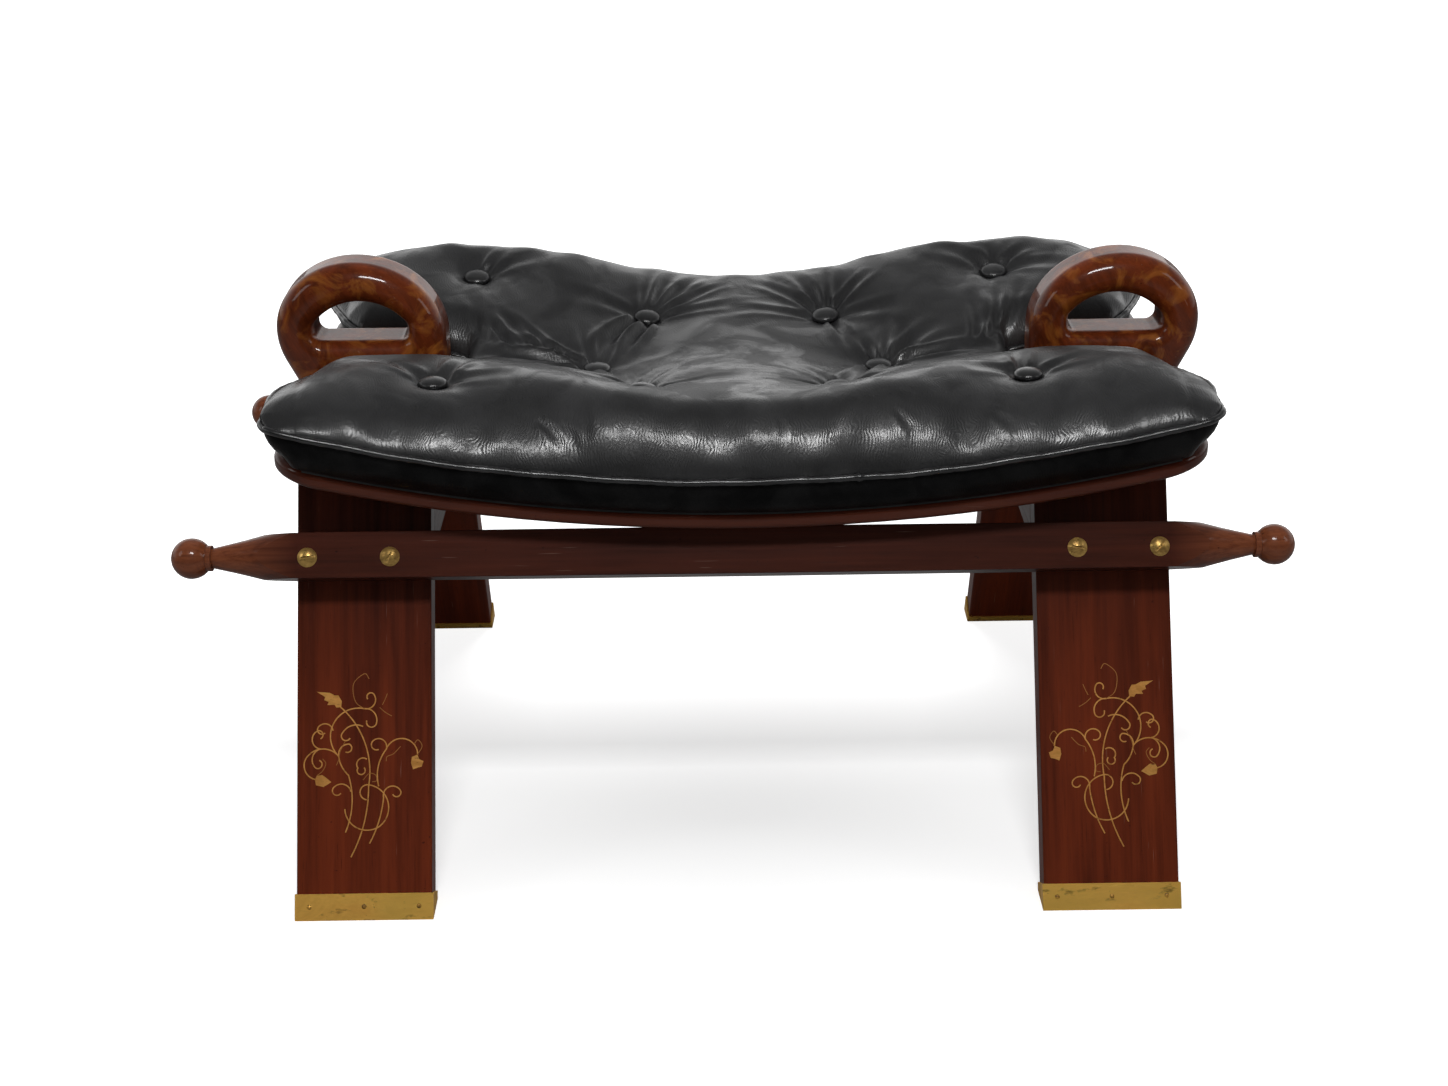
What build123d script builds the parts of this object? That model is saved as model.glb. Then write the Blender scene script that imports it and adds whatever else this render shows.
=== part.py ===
from build123d import *
import os
from math import cos, radians, sin, sqrt, tan

# Camel saddle stool, in millimetres. The origin lies on the floor under the stool's middle,
# +X runs along the rails, the front is towards -Y and +Z is up. Left is -X.
# Each end is a trestle: two splayed plank legs on a head block that carries the loop handle.

os.makedirs("parts", exist_ok=True)

# Legs
leg_x = 232.0
leg_width = 84.0
leg_thickness = 20.0
leg_lean = radians(27.2)
foot_reach = 231.3
leg_edge_round = 1.2

# The seat sits a little to the right of the trestles' middle, as it was built
seat_offset = 5.5

# Seat board, bent along X, its underside lowest at its middle, its long edges a little inside the cushion's
board_length = 574.0
board_side_inset = 12.0
board_thickness = 10.0
board_rise = 36.0
board_low = 230.0
board_corner = 32.0
board_edge_round = 3.5
notch_x = 187.0
notch_half_width = 24.5

# Side rails, turned at the ends and planed flat
rail_length = 700.0
rail_height = 206.0
rail_thickness = 26.8
rail_end_depth = 27.4
rail_middle_depth = 29.4
rail_radius = 19.4
shoulder_run = 77.0
taper_run = 50.0
taper_radius = 12.0
neck_run = 25.5
neck_radius = 6.2
bead_length = 3.5
bead_radius = 8.1
ball_radius = 12.8

# Handles
handle_x = 247.5
handle_half_width = 55.5
handle_peak_x = 251.5
handle_top = 359.0
handle_thickness = 45.0
handle_inner_rise = 52.0
handle_outer_rise = 45.0
handle_under_radius = 45.0
handle_undercut = radians(27)
grip_half_width = 31.0
grip_drop = 25.0
grip_height = 26.5
grip_side_height = 11.0
grip_corner = 6.0
handle_outer_round = 13.5
handle_grip_round = 10.0
tenon_length = 50.0
tenon_thickness = 25.0
tenon_depth = 34.0

# Head blocks
block_low = 197.0

# Fasteners
rail_screw_inner_x = 212.3
rail_screw_outer_x = 263.3
rail_screw_drop = 1.4
rail_screw_head = 6.1
rail_screw_dome = 2.6
rail_screw_shank = 2.4
rail_screw_bite = 14.0
rail_screw_slot = 1.3
rail_screw_slot_depth = 1.3
board_screw_spread = 12.0
board_screw_head = 4.5
board_screw_head_depth = 2.6
board_screw_sink = 1.3
board_screw_shank = 2.0
board_screw_length = 30.0
dowel_spread = 29.0
dowel_height = 222.0
dowel_radius = 4.0
dowel_half_length = 14.0
peg_radius = 4.0
peg_proud = 1.0

# Brass shoes
shoe_wall = 1.0
shoe_height = 16.0
pin_inset = 8.0
pin_head = 1.5
pin_dome = 0.7
pin_shank = 0.7
pin_length = 7.0

# Cushion
pad_tip_x = 286.5
pad_end_x = 265.0
pad_half_width = 177.0
pad_side_inset = 8.5
pad_end_tuck = 18.0
pad_foot_inset = 3.0
notch_wall_x = 182.0
notch_half = 30.5
mouth_half = 48.0
tip_width = 45.0
lobe_rise = 52.0
lobe_crest = 125.0
valley_rise = 27.0
inner_button_x = 62.0
inner_button_y = 75.0
inner_button_rise = 22.0
middle_button_x = 94.0
middle_button_rise = 8.0
corner_button_x = 182.0
corner_button_y = 108.0
corner_button_rise = 31.0
boxing_height = 26.0
boxing_bulge = 2.5
base_thickness = 1.6
piping_radius = 2.1
button_radius = 9.5
button_height = 4.6
button_shank = 2.0
button_shank_length = 12.0
tuft_radius = 27.0

# The pad's stations outwards from its middle, as shares. Middle: of the notch wall's distance, of
# the notch's half width, of the valley's rise and of the lobes' rise. Lobe and tip: of their run,
# then of those rises. Flank and roll: of the lobe's rise there, and of the run from its inner edge.
middle_shares = [
    (0, 0.3, 1, 0.76),
    (0.27, 0.3, 0.85, 0.82),
    (0.52, 0.35, 0.5, 0.93),
    (0.78, 0.6, 0.4, 1),
    (1, 1, 0.35, 0.97),
]
lobe_shares = [(0, 0.35, 0.97), (0.25, 0, 0.94), (0.5, 0, 0.82), (0.75, 0, 0.64), (1, 0, 0.42)]
tip_shares = [(0, 0.42), (0.4, 0.3), (0.75, 0.16), (1, 0.04)]
flank_share = 0.78
flank_run_share = 0.64
roll_share = 0.71

# Vine inlay, drawn on the front right leg: strokes of arcs through the points and three leaves,
# in shares of its half width from the leg's middle and of its height
vine_half_width = 38.0
vine_low = 36.0
vine_height = 118.0
vine_wire = 0.8
vine_depth = 0.6
vine_stroke_shares = [
    [(0.22, 0.02), (0.01, 0.19), (-0.07, 0.39), (-0.02, 0.61), (0.39, 0.81)],
    [
        (-0.04, 0.32), (0.07, 0.363), (-0.08, 0.398), (-0.39, 0.303),
        (-0.24, 0.178), (0.1, 0.17), (0.32, 0.272),
    ],
    [(0.31, 0.15), (0.2, 0.305), (0.26, 0.45), (0.36, 0.49), (0.42, 0.55), (0.54, 0.695), (0, 0.8)],
    [(0, 0.8), (-0.17, 0.775), (-0.2, 0.725), (-0.105, 0.702), (-0.04, 0.737)],
    [(0, 0.8), (-0.16, 0.82), (-0.17, 0.868), (-0.08, 0.881), (-0.055, 0.85)],
    [(0.42, 0.55), (0.67, 0.59), (0.95, 0.545), (0.97, 0.475), (0.8, 0.43)],
    [(0.72, 0.59), (0.855, 0.54), (0.795, 0.49), (0.7, 0.5), (0.74, 0.53)],
    [(0.72, 0.59), (0.855, 0.635), (0.765, 0.686), (0.68, 0.67), (0.72, 0.644)],
    [(0.515, 0.686), (0.6, 0.72), (0.735, 0.712), (0.74, 0.673), (0.645, 0.674)],
    [(0.42, 0.55), (0.37, 0.6), (0.25, 0.614), (0.22, 0.58), (0.31, 0.573)],
    [(0.02, 0.706), (0.22, 0.71), (0.355, 0.675), (0.34, 0.636), (0.235, 0.645)],
    [(0.22, 0.364), (0.34, 0.403), (0.49, 0.39), (0.5, 0.352), (0.385, 0.356)],
    [(-0.04, 0.533), (0.09, 0.532), (0.105, 0.487), (0.05, 0.453), (0.005, 0.489)],
    [
        (-0.085, 0.09), (-0.25, 0.22), (-0.315, 0.33), (-0.45, 0.39),
        (-0.585, 0.37), (-0.55, 0.335), (-0.465, 0.347),
    ],
    [(-0.235, 0.39), (-0.225, 0.49), (-0.36, 0.585), (-0.605, 0.64), (-0.875, 0.553)],
    [(-0.36, 0.585), (-0.3, 0.635), (-0.145, 0.63), (-0.13, 0.593), (-0.235, 0.584)],
]
vine_leaf_shares = [
    [
        (0.38, 0.81), (0.46, 0.807), (0.49, 0.823), (0.61, 0.821), (0.585, 0.838), (0.66, 0.848),
        (0.645, 0.864), (0.78, 0.892), (0.57, 0.886), (0.49, 0.872), (0.425, 0.871), (0.37, 0.841),
    ],
    [(0.81, 0.43), (0.78, 0.449), (0.69, 0.453), (0.61, 0.434), (0.54, 0.415), (0.67, 0.39), (0.795, 0.4)],
    [
        (-0.87, 0.553), (-0.78, 0.542), (-0.765, 0.51), (-0.8, 0.476),
        (-0.875, 0.486), (-0.94, 0.49), (-0.97, 0.519), (-0.9, 0.529),
    ],
]

# Clearances
glue_line = 0.2
soft_gap = 0.3
overrun = 60.0


# The seat's curve

curve_radius = ((board_length / 2) ** 2 + board_rise ** 2) / (2 * board_rise)
curve_centre = board_low + curve_radius


def curve_height(x, lift):
    """Height at x of the curve that lies the lift above the board's underside."""
    return curve_centre - sqrt((curve_radius - lift) ** 2 - (x - seat_offset) ** 2)


def curved_slab(low, high, length, width):
    """A slab bent to the seat's curve, between two lifts above the board's underside."""
    left = seat_offset - length / 2
    right = seat_offset + length / 2
    with BuildPart() as slab:
        with BuildSketch(Plane.XZ):
            with BuildLine():
                lower = ThreePointArc(
                    (left, curve_height(left, low)),
                    (seat_offset, curve_height(seat_offset, low)),
                    (right, curve_height(right, low)),
                )
                upper = ThreePointArc(
                    (left, curve_height(left, high)),
                    (seat_offset, curve_height(seat_offset, high)),
                    (right, curve_height(right, high)),
                )
                Line(lower @ 0, upper @ 0)
                Line(lower @ 1, upper @ 1)
            make_face()
        extrude(amount=width / 2, both=True)
    return slab.part


wide = rail_length
over_board = curved_slab(-glue_line, overrun, board_length + overrun, wide)
under_board = curved_slab(-overrun - overrun, 0, board_length + overrun, wide)


# Pieces are drawn at the front right and mirrored to their end and face: those of the trestles
# about the middle of the frame, those of the seat about its own middle

ends = ["left", "right"]
faces = ["front", "rear"]
end_x = {"left": -leg_x, "right": leg_x}
face_y = {"front": -1, "rear": 1}
seat_middle = Plane.YZ.offset(seat_offset)


def placed(piece, end, face, middle=Plane.YZ):
    """The piece, mirrored to the end and the face that are named."""
    if end == "left":
        piece = mirror(piece, about=middle)
    if face == "rear":
        piece = mirror(piece, about=Plane.XZ)
    return piece


def save(piece, name):
    piece.label = name
    export_step(piece, "parts/" + name + ".step")


# The outer face of the front right leg, its y up the slope from the floor
outward = (0, -cos(leg_lean), sin(leg_lean))
leg_face = Plane(origin=(leg_x, -foot_reach, 0), x_dir=(1, 0, 0), z_dir=outward)
leg_inner_face = leg_face.offset(-leg_thickness)


def inner_reach(z):
    """How far the inner faces of the legs stand from the middle at a height."""
    return foot_reach - z * tan(leg_lean) - leg_thickness / cos(leg_lean)


# Rail axis, in the plane that halves the front rail's thickness

rail_slope = (rail_height - rail_thickness / 2 * sin(leg_lean)) / cos(leg_lean)
rail_seat = leg_face.from_local_coords((0, rail_slope, 0))
rail_plane = Plane(
    origin=(0, rail_seat.Y, rail_seat.Z), x_dir=(1, 0, 0), z_dir=outward
).offset(rail_thickness / 2)
rail_front = rail_plane.offset(rail_thickness / 2)


# Rail screws: slotted domed heads, with a shank through the rail into the leg

rail_screw_length = rail_thickness + rail_screw_bite
with BuildPart() as rail_screw:
    with BuildSketch(Plane.XZ):
        with BuildLine():
            Line((0, -rail_screw_length), (rail_screw_shank, -rail_screw_length))
            Line((rail_screw_shank, -rail_screw_length), (rail_screw_shank, 0))
            Line((rail_screw_shank, 0), (rail_screw_head, 0))
            TangentArc((0, rail_screw_dome), (rail_screw_head, 0), tangent=(1, 0))
            Line((0, rail_screw_dome), (0, -rail_screw_length))
        make_face()
    revolve(axis=Axis.Z)
    with BuildSketch(Plane.XY.offset(rail_screw_dome)):
        Rectangle(rail_screw_head * 2, rail_screw_slot)
    extrude(amount=-rail_screw_slot_depth, mode=Mode.SUBTRACT)

rail_screw_places = [
    (-rail_screw_outer_x, 8),
    (-rail_screw_inner_x, 63),
    (rail_screw_inner_x, -12),
    (rail_screw_outer_x, 48),
]
with BuildPart() as rail_screws:
    for x, turn in rail_screw_places:
        with Locations(rail_front.location * Location((x, -rail_screw_drop, 0), (0, 0, turn))):
            add(rail_screw.part)


# Side rail

shoulder_x = rail_length / 2 - shoulder_run
taper_x = rail_length / 2 - taper_run
neck_x = rail_length / 2 - neck_run
with BuildPart() as side_rail:
    with BuildSketch(rail_plane):
        with BuildLine():
            Line((0, 0), (0, rail_radius))
            Line((0, rail_radius), (shoulder_x, rail_radius))
            ThreePointArc((shoulder_x, rail_radius), (taper_x, taper_radius), (neck_x, neck_radius))
            Line((neck_x, neck_radius), (neck_x, bead_radius))
            bead_end = neck_x + bead_length
            Line((neck_x, bead_radius), (bead_end, bead_radius))
            ball_x = rail_length / 2 - ball_radius
            ball_start = sqrt(ball_radius ** 2 - (ball_x - bead_end) ** 2)
            Line((bead_end, bead_radius), (bead_end, ball_start))
            ThreePointArc((bead_end, ball_start), (ball_x, ball_radius), (rail_length / 2, 0))
            Line((rail_length / 2, 0), (0, 0))
        make_face()
    revolve(axis=Axis(rail_plane.origin, rail_plane.x_dir))
    mirror(about=Plane.YZ)
    with BuildSketch(rail_plane):
        with BuildLine():
            end_high = rail_end_depth / 2
            middle_high = rail_middle_depth / 2
            top = ThreePointArc(
                (-rail_length / 2, end_high), (0, middle_high), (rail_length / 2, end_high)
            )
            foot = ThreePointArc(
                (-rail_length / 2, -end_high), (0, -middle_high), (rail_length / 2, -end_high)
            )
            Line(top @ 0, foot @ 0)
            Line(top @ 1, foot @ 1)
        make_face()
    extrude(amount=rail_thickness / 2, both=True, mode=Mode.INTERSECT)
    add(rail_screws.part, mode=Mode.SUBTRACT)

for face in faces:
    save(placed(side_rail.part, "right", face), "side_rail_" + face)
    save(placed(rail_screws.part, "right", face), "rail_screws_" + face)


# Board screws: countersunk, straight down through the board into the tops of an end's legs

board_screw_bite = board_screw_length - board_thickness
board_screw_middle = curve_height(leg_x, 0) - board_screw_bite / 2
board_screw_reach = inner_reach(board_screw_middle) + leg_thickness / cos(leg_lean) / 2


def board_screw_places(end):
    return [
        (end_x[end] + along * board_screw_spread, face_y[face] * board_screw_reach)
        for along in (-1, 1)
        for face in faces
    ]


def make_board_screws(end):
    with BuildPart() as board_screws:
        for x, y in board_screw_places(end):
            head_top = curve_height(x, board_thickness) - board_screw_sink
            with BuildSketch(Plane.XZ.offset(-y)):
                with BuildLine():
                    Polyline(
                        (x, head_top),
                        (x + board_screw_head, head_top),
                        (x + board_screw_shank, head_top - board_screw_head_depth),
                        (x + board_screw_shank, head_top - board_screw_length),
                        (x, head_top - board_screw_length),
                        close=True,
                    )
                make_face()
            revolve(axis=Axis((x, y, 0), (0, 0, 1)))
    return board_screws.part


def make_board_wells(end):
    with BuildPart() as wells:
        for x, y in board_screw_places(end):
            with BuildSketch(Plane.XY.offset(curve_height(x, board_thickness) - board_screw_sink)):
                with Locations((x, y)):
                    Circle(board_screw_head)
            extrude(amount=overrun)
    return wells.part


board_screws = {end: make_board_screws(end) for end in ends}
board_wells = {end: make_board_wells(end) for end in ends}
for end in ends:
    save(board_screws[end], "board_screws_" + end)


# Dowels from the leg into the head block, square to the leg

dowel_slope = (dowel_height + leg_thickness * sin(leg_lean)) / cos(leg_lean)
with BuildPart() as leg_dowels:
    with BuildSketch(leg_inner_face):
        with Locations((-dowel_spread, dowel_slope), (dowel_spread, dowel_slope)):
            Circle(dowel_radius)
    extrude(amount=dowel_half_length, both=True)


# Shoe pins, three on the outer and three on the inner face of each shoe

pin_xs = [-leg_width / 2 + pin_inset, 0, leg_width / 2 - pin_inset]
with BuildPart() as shoe_pin:
    with BuildSketch(Plane.XZ):
        with BuildLine():
            Line((0, -pin_length), (pin_shank, -pin_length))
            Line((pin_shank, -pin_length), (pin_shank, 0))
            Line((pin_shank, 0), (pin_head, 0))
            TangentArc((0, pin_dome), (pin_head, 0), tangent=(1, 0))
            Line((0, pin_dome), (0, -pin_length))
        make_face()
    revolve(axis=Axis.Z)

shoe_front = leg_face.offset(shoe_wall)
shoe_back = Plane(
    origin=leg_inner_face.origin, x_dir=(1, 0, 0), z_dir=-leg_face.z_dir
).offset(shoe_wall)
pin_front_slope = shoe_height / 2
pin_back_slope = (shoe_height + leg_thickness * tan(leg_lean)) / 2
with BuildPart() as shoe_pins:
    for x in pin_xs:
        with Locations(shoe_front.location * Location((x, pin_front_slope, 0))):
            add(shoe_pin.part)
        with Locations(shoe_back.location * Location((x, -pin_back_slope, 0))):
            add(shoe_pin.part)


# Vine inlay: brass wires and leaves, let flush into the outer face of the leg

def on_vine(point):
    return point[0] * vine_half_width, vine_low + point[1] * vine_height


with BuildPart() as vine_inlay:
    with BuildSketch(leg_face):
        for stroke in vine_stroke_shares:
            points = [on_vine(point) for point in stroke]
            with BuildLine():
                for start, middle, finish in zip(points[::2], points[1::2], points[2::2]):
                    ThreePointArc(start, middle, finish)
            trace(line_width=vine_wire)
        for leaf in vine_leaf_shares:
            with BuildLine():
                Polyline([on_vine(point) for point in leaf], close=True)
            make_face()
    extrude(amount=-vine_depth)


# Leg, its foot in the shoe and its top cut to the board's underside

leg_run = (curve_height(-leg_x - leg_width / 2, 0) + overrun / 2) / cos(leg_lean)
with BuildPart() as leg_blank:
    with BuildSketch(leg_face):
        Rectangle(leg_width, leg_run, align=(Align.CENTER, Align.MIN))
    extrude(amount=-leg_thickness)
    long_edges = leg_blank.edges().filter_by(Axis(leg_face.origin, leg_face.y_dir))
    fillet(long_edges, radius=leg_edge_round)
    split(bisect_by=Plane.XY.offset(shoe_wall), keep=Keep.TOP)
    add(rail_screws.part, mode=Mode.SUBTRACT)
    add(leg_dowels.part, mode=Mode.SUBTRACT)
    add(shoe_pins.part, mode=Mode.SUBTRACT)
    add(vine_inlay.part, mode=Mode.SUBTRACT)

with BuildPart() as shoe:
    with BuildSketch(shoe_front):
        Rectangle(leg_width + 2 * shoe_wall, shoe_height * 2)
    extrude(amount=-leg_thickness - 2 * shoe_wall)
    split(bisect_by=Plane.XY, keep=Keep.TOP)
    add(leg_blank.part, mode=Mode.SUBTRACT)
    add(shoe_pins.part, mode=Mode.SUBTRACT)

for end in ends:
    for face in faces:
        corner = "_" + face + "_" + end
        blank = placed(leg_blank.part, end, face)
        with BuildPart() as leg:
            add(blank)
            add(over_board, mode=Mode.SUBTRACT)
            add(board_screws[end], mode=Mode.SUBTRACT)
        save(leg.part, "leg" + corner)
        save(placed(shoe.part, end, face), "shoe" + corner)
        save(placed(shoe_pins.part, end, face), "shoe_pins" + corner)
        save(placed(vine_inlay.part, end, face), "vine_inlay" + corner)

rear_dowels = placed(leg_dowels.part, "right", "rear")
with BuildPart() as end_dowels:
    add(leg_dowels.part)
    add(rear_dowels)

for end in ends:
    save(placed(end_dowels.part, end, "front"), "leg_dowels_" + end)


# Peg through the head block and the handle's tenon

tenon_low = curve_height(leg_x - tenon_length / 2, 0) - tenon_depth
peg_height = tenon_low + tenon_depth / 2
with BuildPart() as handle_peg:
    with BuildSketch(Plane.YZ.offset(leg_x)):
        with Locations((0, peg_height)):
            Circle(peg_radius)
    extrude(amount=leg_width / 2 + peg_proud, both=True)


# Head block between the front and the rear leg

block_high = leg_run * cos(leg_lean)
with BuildPart() as block_blank:
    with BuildSketch(Plane.YZ.offset(leg_x)):
        with BuildLine():
            Polyline(
                (-inner_reach(block_low), block_low),
                (inner_reach(block_low), block_low),
                (inner_reach(block_high), block_high),
                (-inner_reach(block_high), block_high),
                close=True,
            )
        make_face()
    extrude(amount=leg_width / 2, both=True)
    with BuildSketch(Plane.XY.offset(tenon_low - soft_gap)):
        with Locations((leg_x, 0)):
            Rectangle(tenon_length, tenon_thickness)
    extrude(amount=overrun + overrun, mode=Mode.SUBTRACT)
    add(handle_peg.part, mode=Mode.SUBTRACT)
    add(end_dowels.part, mode=Mode.SUBTRACT)

for end in ends:
    blank = placed(block_blank.part, end, "front")
    with BuildPart() as head_block:
        add(blank)
        add(over_board, mode=Mode.SUBTRACT)
    save(head_block.part, "head_block_" + end)


# Loop handle: an arched ring on a plank that narrows to a tenon

grip_top = handle_top - grip_drop
grip_low = grip_top - grip_height
with BuildPart() as ring:
    with BuildSketch(Plane(origin=(seat_offset, 0, 0), x_dir=(1, 0, 0), z_dir=(0, -1, 0))):
        with BuildLine():
            inner_x = handle_x - handle_half_width
            inner_z = handle_top - handle_inner_rise
            outer_x = handle_x + handle_half_width
            outer_z = handle_top - handle_outer_rise
            under_middle_x = outer_x - handle_under_radius
            under_x = under_middle_x + handle_under_radius * cos(handle_undercut)
            under_z = outer_z - handle_under_radius * sin(handle_undercut)
            foot_outer_x = under_x - (under_z - board_low) * tan(handle_undercut)
            middle_angle = handle_undercut / 2
            Polyline(
                (under_x, under_z), (foot_outer_x, board_low), (inner_x, board_low), (inner_x, inner_z)
            )
            EllipticalCenterArc(
                (handle_peak_x, inner_z),
                handle_peak_x - inner_x,
                handle_inner_rise,
                start_angle=90,
            )
            EllipticalCenterArc(
                (handle_peak_x, outer_z), outer_x - handle_peak_x, handle_outer_rise
            )
            ThreePointArc(
                (outer_x, outer_z),
                (
                    under_middle_x + handle_under_radius * cos(middle_angle),
                    outer_z - handle_under_radius * sin(middle_angle),
                ),
                (under_x, under_z),
            )
        make_face()
    extrude(amount=handle_thickness / 2, both=True)
    ring_edges = [
        edge
        for edge in ring.edges().filter_by(Axis.Y, reverse=True)
        if edge.center().Z > board_low + glue_line
    ]
    fillet(ring_edges, radius=handle_outer_round)
    with BuildSketch(Plane(origin=(seat_offset, 0, 0), x_dir=(1, 0, 0), z_dir=(0, -1, 0))) as grip:
        with BuildLine():
            grip_side = grip_low + grip_side_height
            Polyline(
                (handle_x - grip_half_width, grip_side),
                (handle_x - grip_half_width, grip_low),
                (handle_x + grip_half_width, grip_low),
                (handle_x + grip_half_width, grip_side),
            )
            ThreePointArc(
                (handle_x + grip_half_width, grip_side),
                (handle_x, grip_top),
                (handle_x - grip_half_width, grip_side),
            )
        make_face()
        fillet(grip.vertices(), radius=grip_corner)
    extrude(amount=handle_thickness, both=True, mode=Mode.SUBTRACT)
    grip_edges = [
        edge
        for edge in ring.edges().filter_by(Axis.Y, reverse=True)
        if abs(abs(edge.center().Y) - handle_thickness / 2) < glue_line
        and abs(edge.center().X - seat_offset - handle_x) < grip_half_width + glue_line
        and grip_low - glue_line < edge.center().Z < grip_top + glue_line
    ]
    fillet(grip_edges, radius=handle_grip_round)
    add(under_board, mode=Mode.SUBTRACT)

for end in ends:
    end_ring = placed(ring.part, end, "front", seat_middle)
    end_peg = placed(handle_peg.part, end, "front")
    with BuildPart() as handle:
        with BuildSketch(Plane.XY.offset(tenon_low)):
            with Locations((end_x[end], 0)):
                Rectangle(tenon_length, tenon_thickness)
        extrude(amount=block_high - tenon_low, mode=Mode.ADD)
        add(end_ring)
        add(end_peg, mode=Mode.SUBTRACT)
    save(handle.part, "handle_" + end)
    save(end_peg, "handle_peg_" + end)


# Seat board, notched at both ends for the handles

seat_plan = Plane.XY.offset(board_low - overrun)
board_width = 2 * (pad_half_width - board_side_inset)
with BuildPart() as seat_board:
    add(curved_slab(0, board_thickness, board_length + overrun, wide))
    with BuildSketch(seat_plan):
        with Locations((seat_offset, 0)):
            RectangleRounded(board_length, board_width, board_corner)
    extrude(amount=handle_top, mode=Mode.INTERSECT)
    board_faces = seat_board.faces().filter_by(GeomType.CYLINDER).sort_by(SortBy.AREA)[-2:]
    fillet(board_faces.edges(), radius=board_edge_round)
    with BuildSketch(seat_plan):
        notch_length = board_length / 2 - notch_x + overrun
        with Locations((seat_offset + notch_x, 0)):
            Rectangle(notch_length, notch_half_width * 2, align=(Align.MIN, Align.CENTER))
        with Locations((seat_offset - notch_x, 0)):
            Rectangle(notch_length, notch_half_width * 2, align=(Align.MAX, Align.CENTER))
    extrude(amount=handle_top, mode=Mode.SUBTRACT)
    for end in ends:
        add(board_screws[end], mode=Mode.SUBTRACT)
        add(board_wells[end], mode=Mode.SUBTRACT)
save(seat_board.part, "seat_board")


# Cushion: a crowned pad with two lobes at each end, cut back round the handles

base_lift = board_thickness + soft_gap
pad_lift = base_lift + base_thickness
welt_lift = base_lift + boxing_height
pad_foot_half_width = pad_half_width - pad_side_inset


def pad_side_points(x):
    """Foot, bulge and welt of the pad's rear side at x, as y and z."""
    foot = (pad_foot_half_width, curve_height(x, base_lift))
    welt = (pad_half_width, curve_height(x, welt_lift))
    bulge = ((foot[0] + welt[0]) / 2 + boxing_bulge, (foot[1] + welt[1]) / 2)
    return foot, bulge, welt


def lobe_points(x, inner, crown_rise):
    """Roll, crest and flank of a lobe's top, as y and z: round outside, a long slope inside."""
    welt_z = curve_height(x, welt_lift)
    crest_y = max(lobe_crest, (inner + pad_half_width) / 2)
    roll_y = crest_y + (pad_half_width - crest_y) * roll_share
    flank_y = inner + (crest_y - inner) * flank_run_share
    return (
        (roll_y, welt_z + crown_rise * roll_share),
        (crest_y, welt_z + crown_rise),
        (flank_y, welt_z + crown_rise * flank_share),
    )


def lobe_section(x, inner, inner_rise, crown_rise):
    """Section of a lobe at the rear right."""
    foot, bulge, welt = pad_side_points(x)
    roll, crest, flank = lobe_points(x, inner, crown_rise)
    top_in = (inner, welt[1] + inner_rise)
    foot_in = (inner + pad_foot_inset, foot[1])
    with BuildSketch(Plane.YZ.offset(x)) as section:
        with BuildLine():
            Line(foot_in, foot)
            ThreePointArc(foot, bulge, welt)
            ThreePointArc(welt, roll, crest)
            ThreePointArc(crest, flank, top_in)
            Line(top_in, foot_in)
        make_face()
    return section.sketch


def middle_section(x, valley_half, valley_rise_here, crown_rise):
    """Section across the whole cushion: a lobe to each side of a flat valley."""
    foot, bulge, welt = pad_side_points(x)
    roll, crest, flank = lobe_points(x, valley_half, crown_rise)
    valley = (valley_half, welt[1] + valley_rise_here)
    with BuildSketch(Plane.YZ.offset(x)) as section:
        with BuildLine():
            Line((0, foot[1]), foot)
            ThreePointArc(foot, bulge, welt)
            ThreePointArc(welt, roll, crest)
            ThreePointArc(crest, flank, valley)
            Line(valley, (0, valley[1]))
            Line((0, valley[1]), (0, foot[1]))
        make_face()
    return section.sketch


def rear_half_loft(sections):
    with BuildPart() as run:
        loft(sections=sections)
    return run.part


middle_right = [
    middle_section(
        seat_offset + notch_wall_x * along,
        notch_half * valley_half,
        valley_rise * valley,
        lobe_rise * crown,
    )
    for along, valley_half, valley, crown in middle_shares
]
middle_left = [mirror(section, about=seat_middle) for section in reversed(middle_right[1:])]
pad_middle = rear_half_loft(middle_left + middle_right)

pad_lobe = rear_half_loft(
    [
        lobe_section(
            seat_offset + notch_wall_x + (pad_end_x - notch_wall_x) * along,
            notch_half + (mouth_half - notch_half) * along,
            valley_rise * inner,
            lobe_rise * crown,
        )
        for along, inner, crown in lobe_shares
    ]
)
pad_tip = rear_half_loft(
    [
        lobe_section(
            seat_offset + pad_end_x + (pad_tip_x - pad_end_x) * along,
            mouth_half + (pad_half_width - tip_width - mouth_half) * along,
            0,
            lobe_rise * crown,
        )
        for along, crown in tip_shares
    ]
)

button_places = []
for along_x in (-1, 1):
    button_places.append((seat_offset + along_x * middle_button_x, 0, middle_button_rise))
    for along_y in (-1, 1):
        button_places.append(
            (seat_offset + along_x * inner_button_x, along_y * inner_button_y, inner_button_rise)
        )
        button_places.append(
            (seat_offset + along_x * corner_button_x, along_y * corner_button_y, corner_button_rise)
        )


def tuft_height(x, rise):
    """Height of the bottom of the tuft at a button."""
    return curve_height(x, welt_lift) + rise


# Buttons: domed, each drawn down into its tuft on a shank

button_seat = tuft_radius - sqrt(tuft_radius ** 2 - button_radius ** 2) + glue_line
with BuildPart() as button:
    with BuildSketch(Plane.XZ):
        with BuildLine():
            button_top = button_seat + button_height
            Line((0, -button_shank_length), (button_shank, -button_shank_length))
            Line((button_shank, -button_shank_length), (button_shank, button_seat))
            Line((button_shank, button_seat), (button_radius, button_seat))
            TangentArc((0, button_top), (button_radius, button_seat), tangent=(1, 0))
            Line((0, button_top), (0, -button_shank_length))
        make_face()
    revolve(axis=Axis.Z)

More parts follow.
